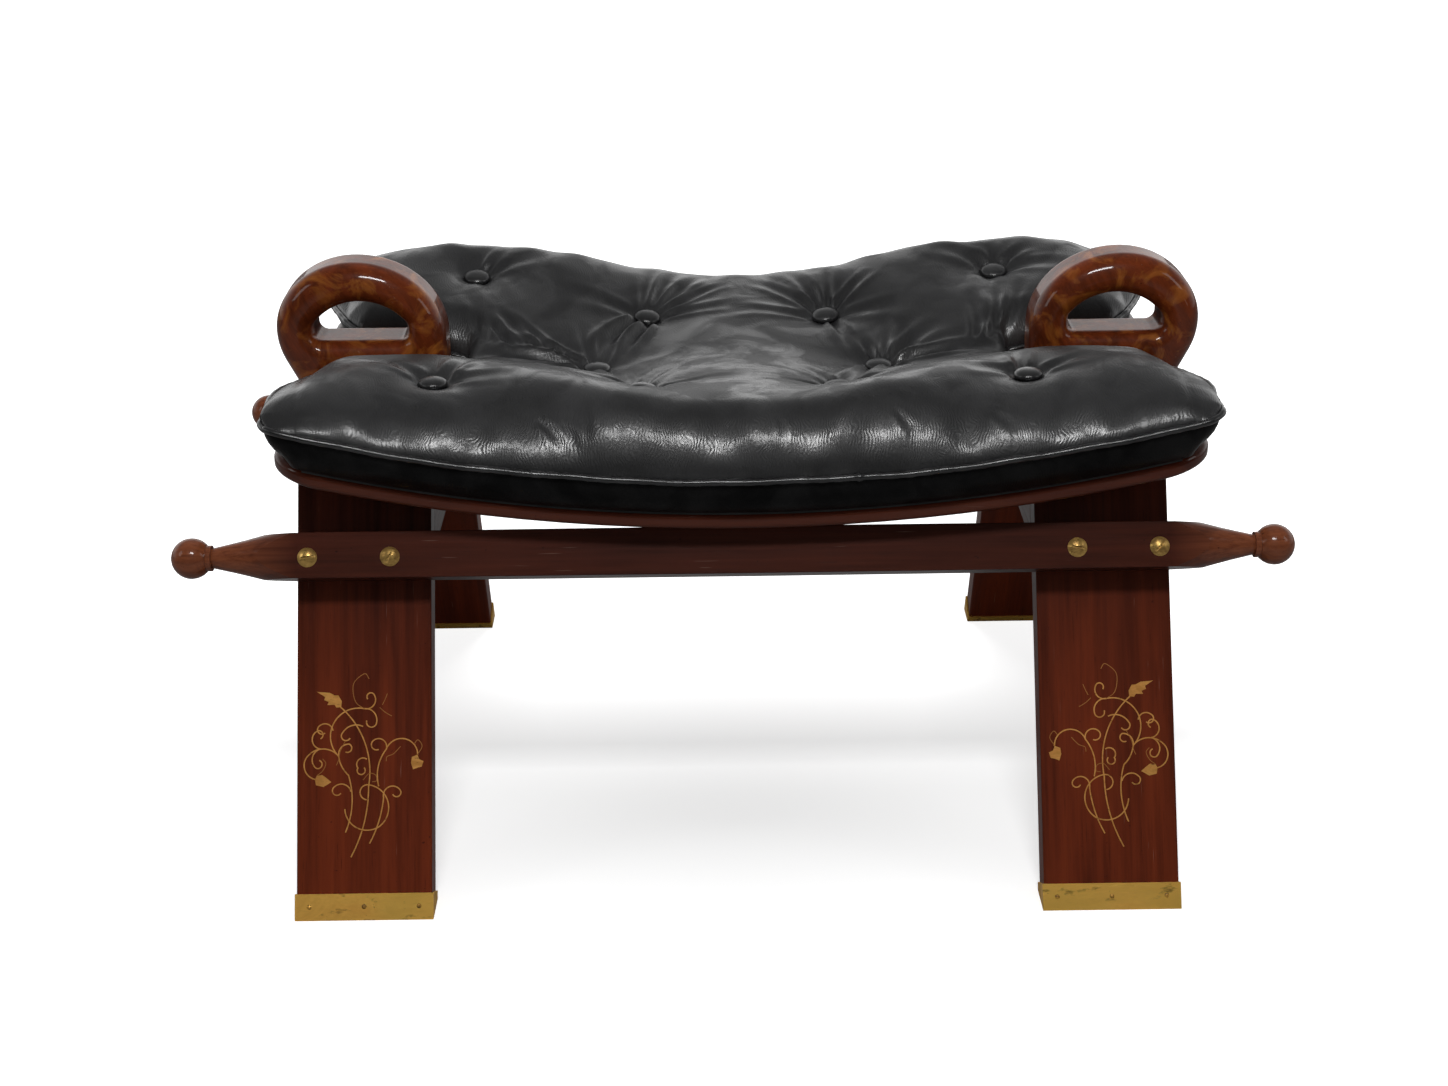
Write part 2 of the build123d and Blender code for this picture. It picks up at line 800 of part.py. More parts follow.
with BuildPart() as cushion_buttons:
    for x, y, rise in button_places:
        with Locations((x, y, tuft_height(x, rise))):
            add(button.part)
save(cushion_buttons.part, "cushion_buttons")

pad_runs = [pad_middle, placed(pad_middle, "right", "rear")]
for run in (pad_lobe, pad_tip):
    pad_runs += [placed(run, end, face, seat_middle) for end in ends for face in faces]
under_pad = curved_slab(-overrun, pad_lift + glue_line, board_length + overrun, wide)

# Below the welt the pad's ends slant in to its foot
tip_edge_x = seat_offset + pad_tip_x
tip_foot_x = tip_edge_x - pad_end_tuck
with BuildPart() as end_tuck:
    with BuildSketch(Plane.XZ):
        with BuildLine():
            Polyline(
                (tip_edge_x, curve_height(tip_edge_x, welt_lift)),
                (tip_foot_x, curve_height(tip_foot_x, base_lift)),
                (tip_foot_x, board_low),
                (tip_edge_x + overrun, board_low),
                (tip_edge_x + overrun, curve_height(tip_edge_x, welt_lift)),
                close=True,
            )
        make_face()
    extrude(amount=wide, both=True)

left_end_tuck = mirror(end_tuck.part, about=seat_middle)
with BuildPart() as cushion_pad:
    add(pad_runs)
    add(under_pad, mode=Mode.SUBTRACT)
    add(end_tuck.part, mode=Mode.SUBTRACT)
    add(left_end_tuck, mode=Mode.SUBTRACT)
    for x, y, rise in button_places:
        with Locations((x, y, tuft_height(x, rise) + tuft_radius)):
            Sphere(tuft_radius, mode=Mode.SUBTRACT)
        with Locations((x, y, tuft_height(x, rise) + button_seat)):
            Cylinder(
                button_shank,
                button_shank_length + button_seat,
                align=(Align.CENTER, Align.CENTER, Align.MAX),
                mode=Mode.SUBTRACT,
            )
save(cushion_pad.part, "cushion_pad")


# Bottom panel, flat on the board and a little inside the pad's foot

with BuildPart() as cushion_base:
    add(curved_slab(base_lift, pad_lift, board_length + overrun, wide))
    with BuildSketch(seat_plan):
        with BuildLine():
            foot_notch_x = notch_wall_x - pad_foot_inset
            foot_notch_half = notch_half + pad_foot_inset
            foot_mouth_half = mouth_half + pad_foot_inset
            foot_end_x = pad_end_x - pad_foot_inset
            foot_tip_x = pad_tip_x - pad_end_tuck - pad_foot_inset
            foot_tip_y = pad_half_width - tip_width
            foot_side_y = pad_foot_half_width - pad_foot_inset
            outline = [
                (foot_tip_x, -foot_side_y),
                (foot_tip_x, -foot_tip_y),
                (foot_end_x, -foot_mouth_half),
                (foot_notch_x, -foot_notch_half),
                (foot_notch_x, foot_notch_half),
                (foot_end_x, foot_mouth_half),
                (foot_tip_x, foot_tip_y),
                (foot_tip_x, foot_side_y),
            ]
            right_end = [(seat_offset + x, y) for x, y in outline]
            left_end = [(seat_offset - x, -y) for x, y in outline]
            Polyline(right_end + left_end, close=True)
        make_face()
    extrude(amount=handle_top, mode=Mode.INTERSECT)
save(cushion_base.part, "cushion_base")


# Welt cord round the pad's edge

welt_gap = piping_radius + glue_line
welt_y = pad_half_width + welt_gap
welt_left = seat_offset - pad_tip_x - welt_gap
welt_right = seat_offset + pad_tip_x + welt_gap
welt_mouth_x = seat_offset + pad_end_x + welt_gap
welt_notch_x = seat_offset + notch_wall_x + welt_gap
end_route = [
    (welt_right, -welt_y),
    (welt_right, -pad_half_width + tip_width),
    (welt_mouth_x, -mouth_half + welt_gap),
    (welt_notch_x, -notch_half + welt_gap),
    (welt_notch_x, notch_half - welt_gap),
    (welt_mouth_x, mouth_half - welt_gap),
    (welt_right, pad_half_width - tip_width),
    (welt_right, welt_y),
]
end_points = [Vector(x, y, curve_height(x, welt_lift)) for x, y in end_route]

with BuildPart() as end_piping:
    for start, finish in zip(end_points, end_points[1:]):
        run = finish - start
        with BuildSketch(Plane(start, z_dir=run)):
            Circle(piping_radius)
        extrude(amount=run.length)
    for point in end_points:
        with Locations(point):
            Sphere(piping_radius)

left_end_piping = mirror(end_piping.part, about=seat_middle)
with BuildPart() as cushion_piping:
    add(end_piping.part)
    add(left_end_piping)
    for y in (-welt_y, welt_y):
        with BuildLine() as long_side:
            ThreePointArc(
                (welt_left, y, curve_height(welt_left, welt_lift)),
                (seat_offset, y, curve_height(seat_offset, welt_lift)),
                (welt_right, y, curve_height(welt_right, welt_lift)),
            )
        with BuildSketch(Plane(long_side.line @ 0, z_dir=long_side.line % 0)):
            Circle(piping_radius)
        sweep(path=long_side.line)
save(cushion_piping.part, "cushion_piping")
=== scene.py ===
"""Looks of a camel saddle stool: woodwork, brass and a tufted leather cushion round the fixed frame."""

import bpy
import numpy as np
from mathutils import Matrix, Vector


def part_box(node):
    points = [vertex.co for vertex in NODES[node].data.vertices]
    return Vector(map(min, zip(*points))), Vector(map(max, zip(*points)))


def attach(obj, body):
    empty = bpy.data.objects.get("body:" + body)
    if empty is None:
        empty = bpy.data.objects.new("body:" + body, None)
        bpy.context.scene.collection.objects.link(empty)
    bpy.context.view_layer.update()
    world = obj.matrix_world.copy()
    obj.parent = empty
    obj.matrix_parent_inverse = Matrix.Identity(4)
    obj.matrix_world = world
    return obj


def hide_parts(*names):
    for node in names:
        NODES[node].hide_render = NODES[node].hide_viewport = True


bl_info = {
    "name": "Camel saddle stool",
    "version": (1, 0, 0),
    "blender": (4, 5, 0),
    "location": "View3D > Sidebar > Camel Stool",
    "description": "Dresses the frame of a camel saddle stool with its leather cushion, woods and brass",
    "category": "Object",
}

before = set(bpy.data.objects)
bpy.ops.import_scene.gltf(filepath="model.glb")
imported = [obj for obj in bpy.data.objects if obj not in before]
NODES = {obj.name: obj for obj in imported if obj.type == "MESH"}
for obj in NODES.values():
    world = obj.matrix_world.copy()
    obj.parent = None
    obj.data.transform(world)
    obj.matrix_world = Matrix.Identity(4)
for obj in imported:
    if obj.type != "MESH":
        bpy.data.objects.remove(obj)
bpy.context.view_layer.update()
MM = 0.001

# The seat's curve, from the board's box: its middle along X, its lowest height and its radius
BOARD_LOW, BOARD_HIGH = (np.array(corner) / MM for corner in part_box("seat_board"))
SEAT_X = (BOARD_LOW[0] + BOARD_HIGH[0]) / 2
SEAT_RADIUS = 1162.0
BOARD_THICKNESS = 10.0
BASE_THICKNESS = 2.4
WELT_RISE = 26.3
PAD_SEAT = BOARD_THICKNESS + BASE_THICKNESS
WELT_LIFT = BOARD_THICKNESS + WELT_RISE

# Plan of the cushion from its own middle: half sizes, the notches round the handles and the tips
HALF_WIDTH = 177.0
TIP_X = 286.5
NOTCH_X = 182.0
NOTCH_HALF = 30.5
INNER_EDGE = [
    (NOTCH_X, NOTCH_HALF),
    (224.0, 38.0),
    (258.0, 46.0),
    (268.0, 60.0),
    (275.0, 90.0),
    (281.0, 114.0),
    (TIP_X, 136.0),
]
CORNER_ROUND = 13.0
END_SWELL = 18.0

# The pillow above the welt: its crest, its valley, where its fall to the tips starts, how much further in
# and lower the front lobe's crest is near the ends, and how wide the roll round a handle is
CREST_Y = 138.0
CREST_MIDDLE, CREST_RISE = 39.0, 12.5
VALLEY_MIDDLE, VALLEY_DROP = 27.0, 15.0
FALL_START = 160.0
FRONT_SHIFT, FRONT_DROP = 34.0, 13.0
NOTCH_ROLL = 24.0

# The cushion's side below the welt: how far its foot is drawn in all round, at the long sides and at the
# tips, how far the side bulges and the leather swells out over the tips, how far the side is drawn in
# just under the seam, and the places of its rings from the seam down
FOOT_INSET, SIDE_INSET, TIP_INSET = 3.0, 6.5, 17.0
SIDE_BULGE, TIP_BULGE = 1.6, 2.4
SEAM_TUCK = 1.2
RING_SHARES = (0.06, 0.16, 0.3, 0.45, 0.6, 0.75, 0.88, 0.96, 1.0)

# The welt: how far its cord lies outside and below the seam, and where its ends are joined
WELT_OUT, WELT_SINK = 1.2, 0.4
WELT_JOIN_X = 70.0

# Grid counts of the leather: columns to the notch, columns round a lobe, rows of a lobe, of the valley
MIDDLE_COLUMNS = 118
LOBE_COLUMNS = 68
LOBE_ROWS = 86
VALLEY_ROWS = 32

# Buttons: place from the cushion's middle, and height above the welt
BUTTONS = [
    (-182.0, 108.0, 31.0),
    (182.0, 108.0, 31.0),
    (-62.0, 75.0, 23.0),
    (62.0, 75.0, 23.0),
    (-94.0, 0.0, 8.0),
    (94.0, 0.0, 8.0),
    (-62.0, -75.0, 21.0),
    (62.0, -75.0, 21.0),
    (-190.0, -112.0, 23.5),
    (178.0, -112.0, 26.5),
]
BUTTON_RADIUS = 9.0
BUTTON_SEAT = 1.9
BUTTON_COLLAR = 1.4
TUFT_REACH, TUFT_CORE = 46.0, 7.0

# Creases of the leather in plan: start, bend, end, half width and depth. Those at a button start at it.
CREASES = [
    # rear inner left button
    ((-60, 83), (-54, 104), (-44, 138), 2.4, 2.6),
    ((-57, 82), (-44, 102), (-24, 136), 2.2, 2.4),
    ((-54, 80), (-34, 96), (-4, 122), 2.0, 1.7),
    ((-64, 84), (-66, 104), (-60, 140), 2.6, 1.6),
    ((-52, 76), (-26, 82), (16, 84), 3.0, 1.2),
    ((-66, 67), (-88, 46), (-93, 9), 3.6, 5.2),
    ((-60, 66), (-70, 42), (-85, 8), 2.8, 3.2),
    ((-72, 78), (-96, 84), (-124, 84), 4.0, 1.0),
    # rear inner right button
    ((60, 84), (52, 106), (38, 140), 2.4, 2.4),
    ((64, 84), (66, 104), (64, 134), 2.2, 2.2),
    ((68, 82), (80, 98), (98, 116), 2.2, 2.0),
    ((55, 82), (36, 104), (8, 128), 2.6, 1.6),
    ((52, 74), (24, 76), (-18, 72), 3.4, 1.4),
    ((66, 67), (72, 44), (82, 14), 2.6, 2.6),
    ((72, 72), (96, 70), (122, 64), 4.0, 1.2),
    # middle left button, with the folds that run to the notch
    ((-97, 8), (-104, 24), (-106, 52), 2.2, 2.0),
    ((-90, 8), (-84, 22), (-82, 44), 2.0, 2.2),
    ((-102, 4), (-126, 22), (-168, 22), 2.6, 3.0),
    ((-103, 0), (-136, 10), (-178, 4), 3.2, 4.0),
    ((-118, 12), (-140, 30), (-160, 52), 2.2, 2.2),
    ((-134, 16), (-152, 34), (-168, 58), 2.2, 2.2),
    ((-150, 14), (-166, 34), (-178, 66), 2.2, 2.0),
    ((-168, 22), (-178, 44), (-186, 78), 2.4, 2.0),
    ((-90, -8), (-82, -36), (-68, -66), 3.0, 2.6),
    ((-100, -6), (-120, -16), (-150, -20), 3.4, 1.6),
    # middle right button, with the folds that run to the notch
    ((92, 8), (86, 26), (78, 50), 2.2, 2.4),
    ((97, 8), (100, 24), (102, 46), 2.0, 2.4),
    ((101, 6), (116, 26), (140, 42), 3.0, 2.6),
    ((103, 2), (134, 14), (176, 8), 2.8, 3.4),
    ((160, 18), (166, 40), (160, 68), 2.4, 2.4),
    ((170, 20), (180, 44), (178, 76), 2.2, 2.4),
    ((178, 28), (194, 54), (198, 84), 2.6, 2.2),
    ((90, -8), (84, -40), (68, -66), 3.6, 4.0),
    ((100, -6), (122, -16), (154, -22), 3.4, 1.6),
    # front inner buttons
    ((-60, -66), (-58, -46), (-46, -24), 2.4, 1.8),
    ((-72, -72), (-98, -60), (-122, -62), 3.0, 1.4),
    ((-52, -74), (-26, -70), (6, -76), 3.6, 1.4),
    ((60, -66), (54, -46), (38, -30), 2.4, 1.8),
    ((52, -74), (30, -72), (4, -82), 3.6, 1.4),
    ((72, -74), (98, -66), (124, -70), 3.4, 1.2),
    ((-62, -84), (-64, -104), (-70, -128), 3.4, 1.4),
    ((62, -84), (66, -104), (74, -128), 3.4, 1.4),
    # corner buttons
    ((-176, 116), (-170, 124), (-162, 132), 2.4, 1.8),
    ((-182, 118), (-182, 130), (-178, 142), 3.4, 0.9),
    ((-173, 112), (-150, 124), (-122, 130), 4.4, 1.0),
    ((-176, 99), (-166, 76), (-160, 52), 4.6, 1.0),
    ((184, 117), (183, 126), (180, 136), 2.4, 1.9),
    ((190, 114), (200, 124), (210, 130), 2.6, 1.5),
    ((174, 114), (156, 128), (134, 138), 4.2, 1.1),
    ((191, 106), (216, 104), (240, 96), 4.0, 1.1),
    ((178, 99), (172, 78), (168, 56), 4.6, 1.0),
    ((-184, -105), (-176, -88), (-170, -66), 3.0, 2.2),
    ((-181, -110), (-156, -112), (-130, -104), 4.4, 1.2),
    ((-197, -106), (-212, -94), (-226, -84), 3.4, 1.6),
    ((175, -103), (174, -86), (176, -66), 3.0, 2.2),
    ((187, -110), (204, -102), (222, -96), 3.4, 1.6),
    ((170, -107), (146, -100), (122, -102), 4.4, 1.0),
    # short creases on the front roll
    ((-122, -158), (-114, -164), (-104, -170), 1.8, 1.5),
    ((-108, -160), (-102, -166), (-96, -171), 1.6, 1.0),
    ((-92, -166), (-96, -156), (-104, -146), 3.0, 0.8),
    ((22, -158), (26, -164), (24, -170), 1.6, 0.7),
    ((92, -156), (98, -163), (106, -169), 1.8, 0.8),
    ((150, -156), (156, -163), (168, -168), 2.0, 0.8),
]

# Faint tendrils of the vine beside the wires that the frame holds, as on the right front leg: x from the
# leg's middle, and height along its slope
LEG_X = 232.0
LEG_LEAN = np.radians(27.2)
FOOT_REACH = 231.3
TENDRILS = [
    [(-0.2, 130.3), (5.0, 134.0), (7.0, 140.8), (6.1, 147.2), (-0.2, 152.2), (-3.0, 149.0)],
    [(-9.6, 131.0), (-13.0, 128.0), (-17.2, 125.5)],
    [(-11.3, 132.7), (-13.0, 136.1), (-14.4, 139.6)],
    [(-13.6, 97.5), (-14.2, 100.4), (-18.2, 102.1), (-22.6, 106.6)],
    [(11.8, 110.5), (15.0, 104.0), (16.1, 98.5), (17.5, 95.3)],
    [(29.6, 89.0), (26.0, 92.0), (24.0, 96.5), (26.0, 99.5)],
    [(-33.0, 101.3), (-36.0, 106.5), (-33.5, 110.5), (-31.0, 108.0)],
    [(0.8, 86.0), (-3.0, 90.0), (-7.0, 89.0), (-7.5, 85.5), (-4.8, 84.8)],
]
TENDRIL_WIDTH = 0.42
TENDRIL_TOP, TENDRIL_FOOT = 0.06, -0.2

# Where the rails' turned ends get a painted highlight, in metres from the middle, and the painted shade on
# the legs and blocks towards the seat: two heights in metres and how far
HIGHLIGHT_FROM, HIGHLIGHT_TO = 0.27, 0.31
LEG_PAINTED_SHADE = (0.1, 0.22, 0.85)
BLOCK_PAINTED_SHADE = (0.0, 0.1, 0.6)

# Colours that have no setting
# The tint of the painted shade that darkens the legs and blocks towards the seat
PAINTED_SHADE_TINT = (0.36, 0.42, 0.6, 1.0)
BARE_WOOD = (0.6, 0.45, 0.35, 1.0)
PALE_DARK, PALE_LIGHT = (0.3, 0.17, 0.08, 1.0), (0.5, 0.33, 0.18, 1.0)
BRASS_STAIN = (0.045, 0.022, 0.008, 1.0)
PIN_DULL = (0.14, 0.08, 0.025, 1.0)
SCREW_BRIGHT, SCREW_DULL = (0.66, 0.42, 0.12, 1.0), (0.3, 0.17, 0.05, 1.0)
STEEL_BRIGHT, STEEL_DULL, STEEL_STAIN = (0.5, 0.5, 0.5, 1.0), (0.3, 0.3, 0.3, 1.0), (0.1, 0.09, 0.08, 1.0)
INLAY_BRIGHT, INLAY_DULL = (0.72, 0.36, 0.09, 1.0), (0.48, 0.22, 0.05, 1.0)
INLAY_STAIN = (0.12, 0.045, 0.015, 1.0)
INLAY_FAINT = (0.30, 0.12, 0.03, 1.0)
BASE_CLOTH = (0.02, 0.02, 0.02, 1.0)
WHITE = (1.0, 1.0, 1.0, 1.0)

# Lamps, in metres: place, what it points at, width and depth, and whether gloss shows it
LAMPS = {
    "key_lamp": ((0.0, -1.3, 1.8), (0.0, 0.0, 0.25), (0.6, 0.25), True),
    "overhead_lamp": ((0.0, 1.3, 2.0), (0.0, 0.0, 0.25), (1.7, 1.3), False),
    "front_lamp": ((0.0, -2.4, 1.2), (0.0, 0.0, 0.2), (1.6, 0.7), False),
    "left_lamp": ((-1.9, -0.7, 1.3), (0.0, 0.0, 0.25), (0.5, 0.8), True),
    "right_lamp": ((1.9, -0.7, 1.3), (0.0, 0.0, 0.25), (0.5, 0.8), True),
}
FLOOR_REACH = 6.0

# Camera, fitted to the photograph
CAMERA_PLACE = (-13.2, -1474.55, 754.0)
CAMERA_YAW = np.radians(0.311)
CAMERA_PITCH = np.radians(22.12)
CAMERA_ROLL = np.radians(-0.648)
CAMERA_LENS = 57.54


# Shapes of the cushion

def ramp(value, start, length):
    """A rise from 0 at the start to 1 a length further on, with level ends."""
    t = np.clip((value - start) / length, 0.0, 1.0)
    return t * t * (3.0 - 2.0 * t)


def seat_height(x, lift):
    """The seat's curve: an arc about a centre above the board's middle, the lift nearer to it."""
    radius = SEAT_RADIUS - lift
    return BOARD_LOW[2] + SEAT_RADIUS - np.sqrt(radius ** 2 - x ** 2)


def distance_to_path(x, y, path):
    """The least distance from each point to the straight runs of a path, and how far along it, 0 to 1."""
    best = np.full(x.shape, np.inf)
    along = np.zeros(x.shape)
    for k, ((ax, ay), (bx, by)) in enumerate(zip(path, path[1:])):
        dx, dy = bx - ax, by - ay
        t = np.clip(((x - ax) * dx + (y - ay) * dy) / (dx * dx + dy * dy), 0.0, 1.0)
        gap = np.hypot(x - ax - t * dx, y - ay - t * dy)
        nearer = gap < best
        best = np.where(nearer, gap, best)
        along = np.where(nearer, (k + t) / (len(path) - 1), along)
    return best, along


def bent_path(start, bend, end, steps=10):
    """A quadratic curve from start to end that passes near the bend, as points."""
    t = np.linspace(0.0, 1.0, steps)[:, None]
    start, bend, end = (np.array(point, float) for point in (start, bend, end))
    return [tuple(p) for p in (1 - t) ** 2 * start + 2 * t * (1 - t) * bend + t ** 2 * end]


def pillow_height(x, y):
    """The untufted pillow above the welt: a lobe along each long side, round outside and sloping
    down to a valley between them, lower at the middle and falling to the tips. Towards the ends the
    front lobe is sat flatter than the rear one, its crest further in."""
    ax, ay = np.abs(x), np.abs(y)
    flat = np.where(y < 0, ramp(ax, 50.0, 110.0) * (1.0 - 0.8 * ramp(ax, 215.0, 60.0)), 0.0)
    crest_y = CREST_Y - FRONT_SHIFT * flat
    end_fall = (1.0 - np.clip((ax - FALL_START) / (TIP_X - FALL_START), 0.0, 1.0) ** 2) ** 0.8
    crest = (CREST_MIDDLE + CREST_RISE * ramp(ax, 22.0, 118.0) - FRONT_DROP * flat) * end_fall
    valley = VALLEY_MIDDLE - VALLEY_DROP * ramp(ax, 0.0, 105.0)
    outside = np.clip((HALF_WIDTH - ay) / (HALF_WIDTH - crest_y), 0.0, 1.0)
    roll = (1.0 - (1.0 - outside) ** (2.0 + 0.2 * flat)) ** (0.6 + 0.1 * flat)
    soft = 0.26 - 0.22 * ramp(ax, 30.0, 70.0)
    across = np.clip(ay / crest_y, 0.0, 1.0)
    across = np.sqrt(across ** 2 + soft ** 2) - soft
    across = across / (np.sqrt(1.0 + soft ** 2) - soft)
    slope = 1.18 * across - 0.18 * across ** 6.5
    inner = valley * end_fall + (crest - valley * end_fall) * slope
    return np.where(ay > crest_y, crest * roll, inner)


def notch_roll(x, y):
    """How far the leather has risen from the edge round a handle: a quarter round, 0 to 1."""
    wall = [(NOTCH_X, 0.0)] + INNER_EDGE
    gap, _ = distance_to_path(np.abs(x), np.abs(y), wall)
    t = np.clip(gap / NOTCH_ROLL, 0.0, 1.0)
    return np.sqrt(1.0 - (1.0 - t) ** 2) ** 1.1


def tuft_depth(x, y):
    """The dimples at the buttons: a sheet drawn down at a point, deepest under the button."""
    total = np.zeros(x.shape)
    for bx, by, rise in BUTTONS:
        here = pillow_height(np.array([bx]), np.array([by]))[0]
        gap = np.maximum(np.hypot(x - bx, y - by) - 0.8 * BUTTON_RADIUS, 0.0)
        sag = np.clip(1.0 - np.log1p(gap / TUFT_CORE) / np.log1p(TUFT_REACH / TUFT_CORE), 0.0, None)
        total = total + (here - rise) * sag ** 1.15
    return total


def crease_height(x, y):
    """All creases: a narrow trough with a soft ridge to each side, that fades towards its end."""
    total = np.zeros(x.shape)
    for start, bend, end, width, depth in CREASES:
        gap, along = distance_to_path(x, y, bent_path(start, bend, end))
        spread = width * (0.85 + 0.8 * along)
        fade = ramp(along, -0.05, 0.15) * (1.0 - along) ** 0.8
        trough = np.exp(-((gap / spread) ** 2))
        ridge = np.exp(-(((gap - 1.9 * spread) / (0.95 * spread)) ** 2))
        total = total + depth * fade * (ridge - 0.75 * trough)
    return total


def roll_lumps(x, y):
    """Soft lumps of the filling along the outer rolls, and small puckers beside the seam."""
    gap = HALF_WIDTH - np.abs(y)
    side = np.where(y < 0, 0.0, 2.1)
    band = ramp(gap, 0.0, 8.0) * (1.0 - ramp(gap, 14.0, 44.0))
    lumps = np.sin(x / 7.9 + side) + 0.8 * np.sin(x / 12.7 + 1.9 * side + 0.6) + 0.6 * np.sin(x / 4.7 + 1.1)
    pucker = np.sin(x / 1.9 + 1.2 * np.sin(x / 23.0)) * np.exp(-gap / 4.5)
    return 0.75 * band * lumps + (0.16 + 0.34 * ramp(np.abs(x), 235.0, 40.0)) * pucker


def slack(x, y):
    """Faint unevenness of the filling under the leather: two crossed waves of drifting direction."""
    first = np.sin(x / 7.3 + 1.3 * np.sin(y / 19.0)) * np.sin(y / 9.1 + 1.1 * np.sin(x / 23.0))
    second = np.sin(x / 15.7 + y / 12.3 + 0.8 * np.sin(x / 31.0))
    return 0.22 * first + 0.35 * second


def leather_height(x, y):
    """Height of the leather's top above the welt."""
    open_top = pillow_height(x, y) - tuft_depth(x, y) + crease_height(x, y) + roll_lumps(x, y) + slack(x, y)
    edge = ramp(TIP_X - np.abs(x), 0.0, 3.0) * ramp(HALF_WIDTH - np.abs(y), 0.0, 1.0)
    return np.maximum(open_top, 0.0) * notch_roll(x, y) * edge


def bulge_ends(x, y):
    """Near a tip the leather swells out over its welt: points move outwards, most half way up the swell."""
    gap = np.clip((TIP_X - np.abs(x)) / END_SWELL, 0.0, 1.0)
    side = ramp(HALF_WIDTH - np.abs(y), 0.0, 14.0)
    moved = TIP_X - END_SWELL * gap ** (1.0 + 0.9 * side) + TIP_BULGE * side * np.sin(np.pi * gap ** 0.6)
    return np.where(np.abs(x) > TIP_X - END_SWELL, np.sign(x) * moved, x)


def round_corner(x, y):
    """The tips' square corners taken to a quarter circle, by the disc map of a square."""
    u = 1.0 - np.clip((TIP_X - np.abs(x)) / CORNER_ROUND, 0.0, 1.0)
    v = 1.0 - np.clip((HALF_WIDTH - np.abs(y)) / CORNER_ROUND, 0.0, 1.0)
    inside = (u > 0) & (v > 0)
    new_x = TIP_X - CORNER_ROUND * (1.0 - u * np.sqrt(1.0 - v * v / 2.0))
    new_y = HALF_WIDTH - CORNER_ROUND * (1.0 - v * np.sqrt(1.0 - u * u / 2.0))
    return np.where(inside, np.sign(x) * new_x, x), np.where(inside, np.sign(y) * new_y, y)


def cushion_plan():
    """Plan points of the rear lobe, column by column from the left tip to the right one, and row by
    row from its inner edge to its long side, and those of the valley strip between the notches."""
    inner = np.array(INNER_EDGE)
    lengths = np.concatenate([[0.0], np.cumsum(np.hypot(*np.diff(inner, axis=0).T))])
    q = np.linspace(0.0, 1.0, LOBE_COLUMNS + 1)[1:]
    lobe_in = np.stack([np.interp(q * lengths[-1], lengths, inner[:, k]) for k in (0, 1)], -1)
    lobe_out = np.stack([NOTCH_X + (TIP_X - NOTCH_X) * q, np.full(q.shape, HALF_WIDTH)], -1)
    middle_x = np.linspace(-NOTCH_X, NOTCH_X, 2 * MIDDLE_COLUMNS + 1)
    middle_in = np.stack([middle_x, np.full(middle_x.shape, NOTCH_HALF)], -1)
    middle_out = np.stack([middle_x, np.full(middle_x.shape, HALF_WIDTH)], -1)
    flip = np.array([-1.0, 1.0])
    edge_in = np.concatenate([lobe_in[::-1] * flip, middle_in, lobe_in])
    edge_out = np.concatenate([lobe_out[::-1] * flip, middle_out, lobe_out])
    t = np.linspace(0.0, 1.0, LOBE_ROWS + 1)[None, :, None]
    lobe = edge_in[:, None, :] * (1.0 - t) + edge_out[:, None, :] * t
    strip_y = np.linspace(-NOTCH_HALF, NOTCH_HALF, VALLEY_ROWS + 1)
    strip = np.stack(np.meshgrid(middle_x, strip_y, indexing="ij"), -1)
    return lobe, strip


def quads(index, flipped=False):
    """The faces of a grid of vertex numbers, one for each cell."""
    corners = [index[:-1, :-1], index[1:, :-1], index[1:, 1:], index[:-1, 1:]]
    if flipped:
        corners.reverse()
    return np.stack(corners, -1).reshape(-1, 4).tolist()


def cushion_surface():
    """Vertices and faces of the top, with its edge as a closed loop of vertex numbers."""
    lobe, strip = cushion_plan()
    columns, rows = lobe.shape[:2]
    rear = np.arange(columns * rows).reshape(columns, rows)
    front = rear + columns * rows
    first = LOBE_COLUMNS
    last = first + 2 * MIDDLE_COLUMNS
    inside = np.arange(strip.shape[0] * (VALLEY_ROWS - 1)).reshape(strip.shape[0], -1) + 2 * columns * rows
    valley = np.concatenate([front[first:last + 1, :1], inside, rear[first:last + 1, :1]], axis=1)
    plan = np.concatenate([
        lobe.reshape(-1, 2),
        (lobe * np.array([1.0, -1.0])).reshape(-1, 2),
        strip[:, 1:-1].reshape(-1, 2),
    ])
    x, y = plan.T
    height = leather_height(x, y)
    x = bulge_ends(x, y)
    x, y = round_corner(x, y)
    z = seat_height(x, WELT_LIFT) + height
    faces = quads(rear) + quads(front, flipped=True) + quads(valley)
    loop = np.concatenate([
        front[:, -1],
        front[-1, -2::-1],
        front[last:-1, 0][::-1],
        valley[-1, 1:],
        rear[last + 1:, 0],
        rear[-1, 1:],
        rear[:-1, -1][::-1],
        rear[0, -2::-1],
        rear[1:first + 1, 0],
        valley[0, -2::-1],
        front[:first, 0][::-1],
        front[0, 1:-1],
    ])
    return np.stack([x, y, z], -1), faces, loop


def outward(points):
    """Unit vectors in plan that point out of a closed loop run anticlockwise, evened out a little."""
    run = np.roll(points, -3, axis=0)[:, :2] - np.roll(points, 3, axis=0)[:, :2]
    normal = np.stack([run[:, 1], -run[:, 0]], -1)
    return normal / np.linalg.norm(normal, axis=1)[:, None]


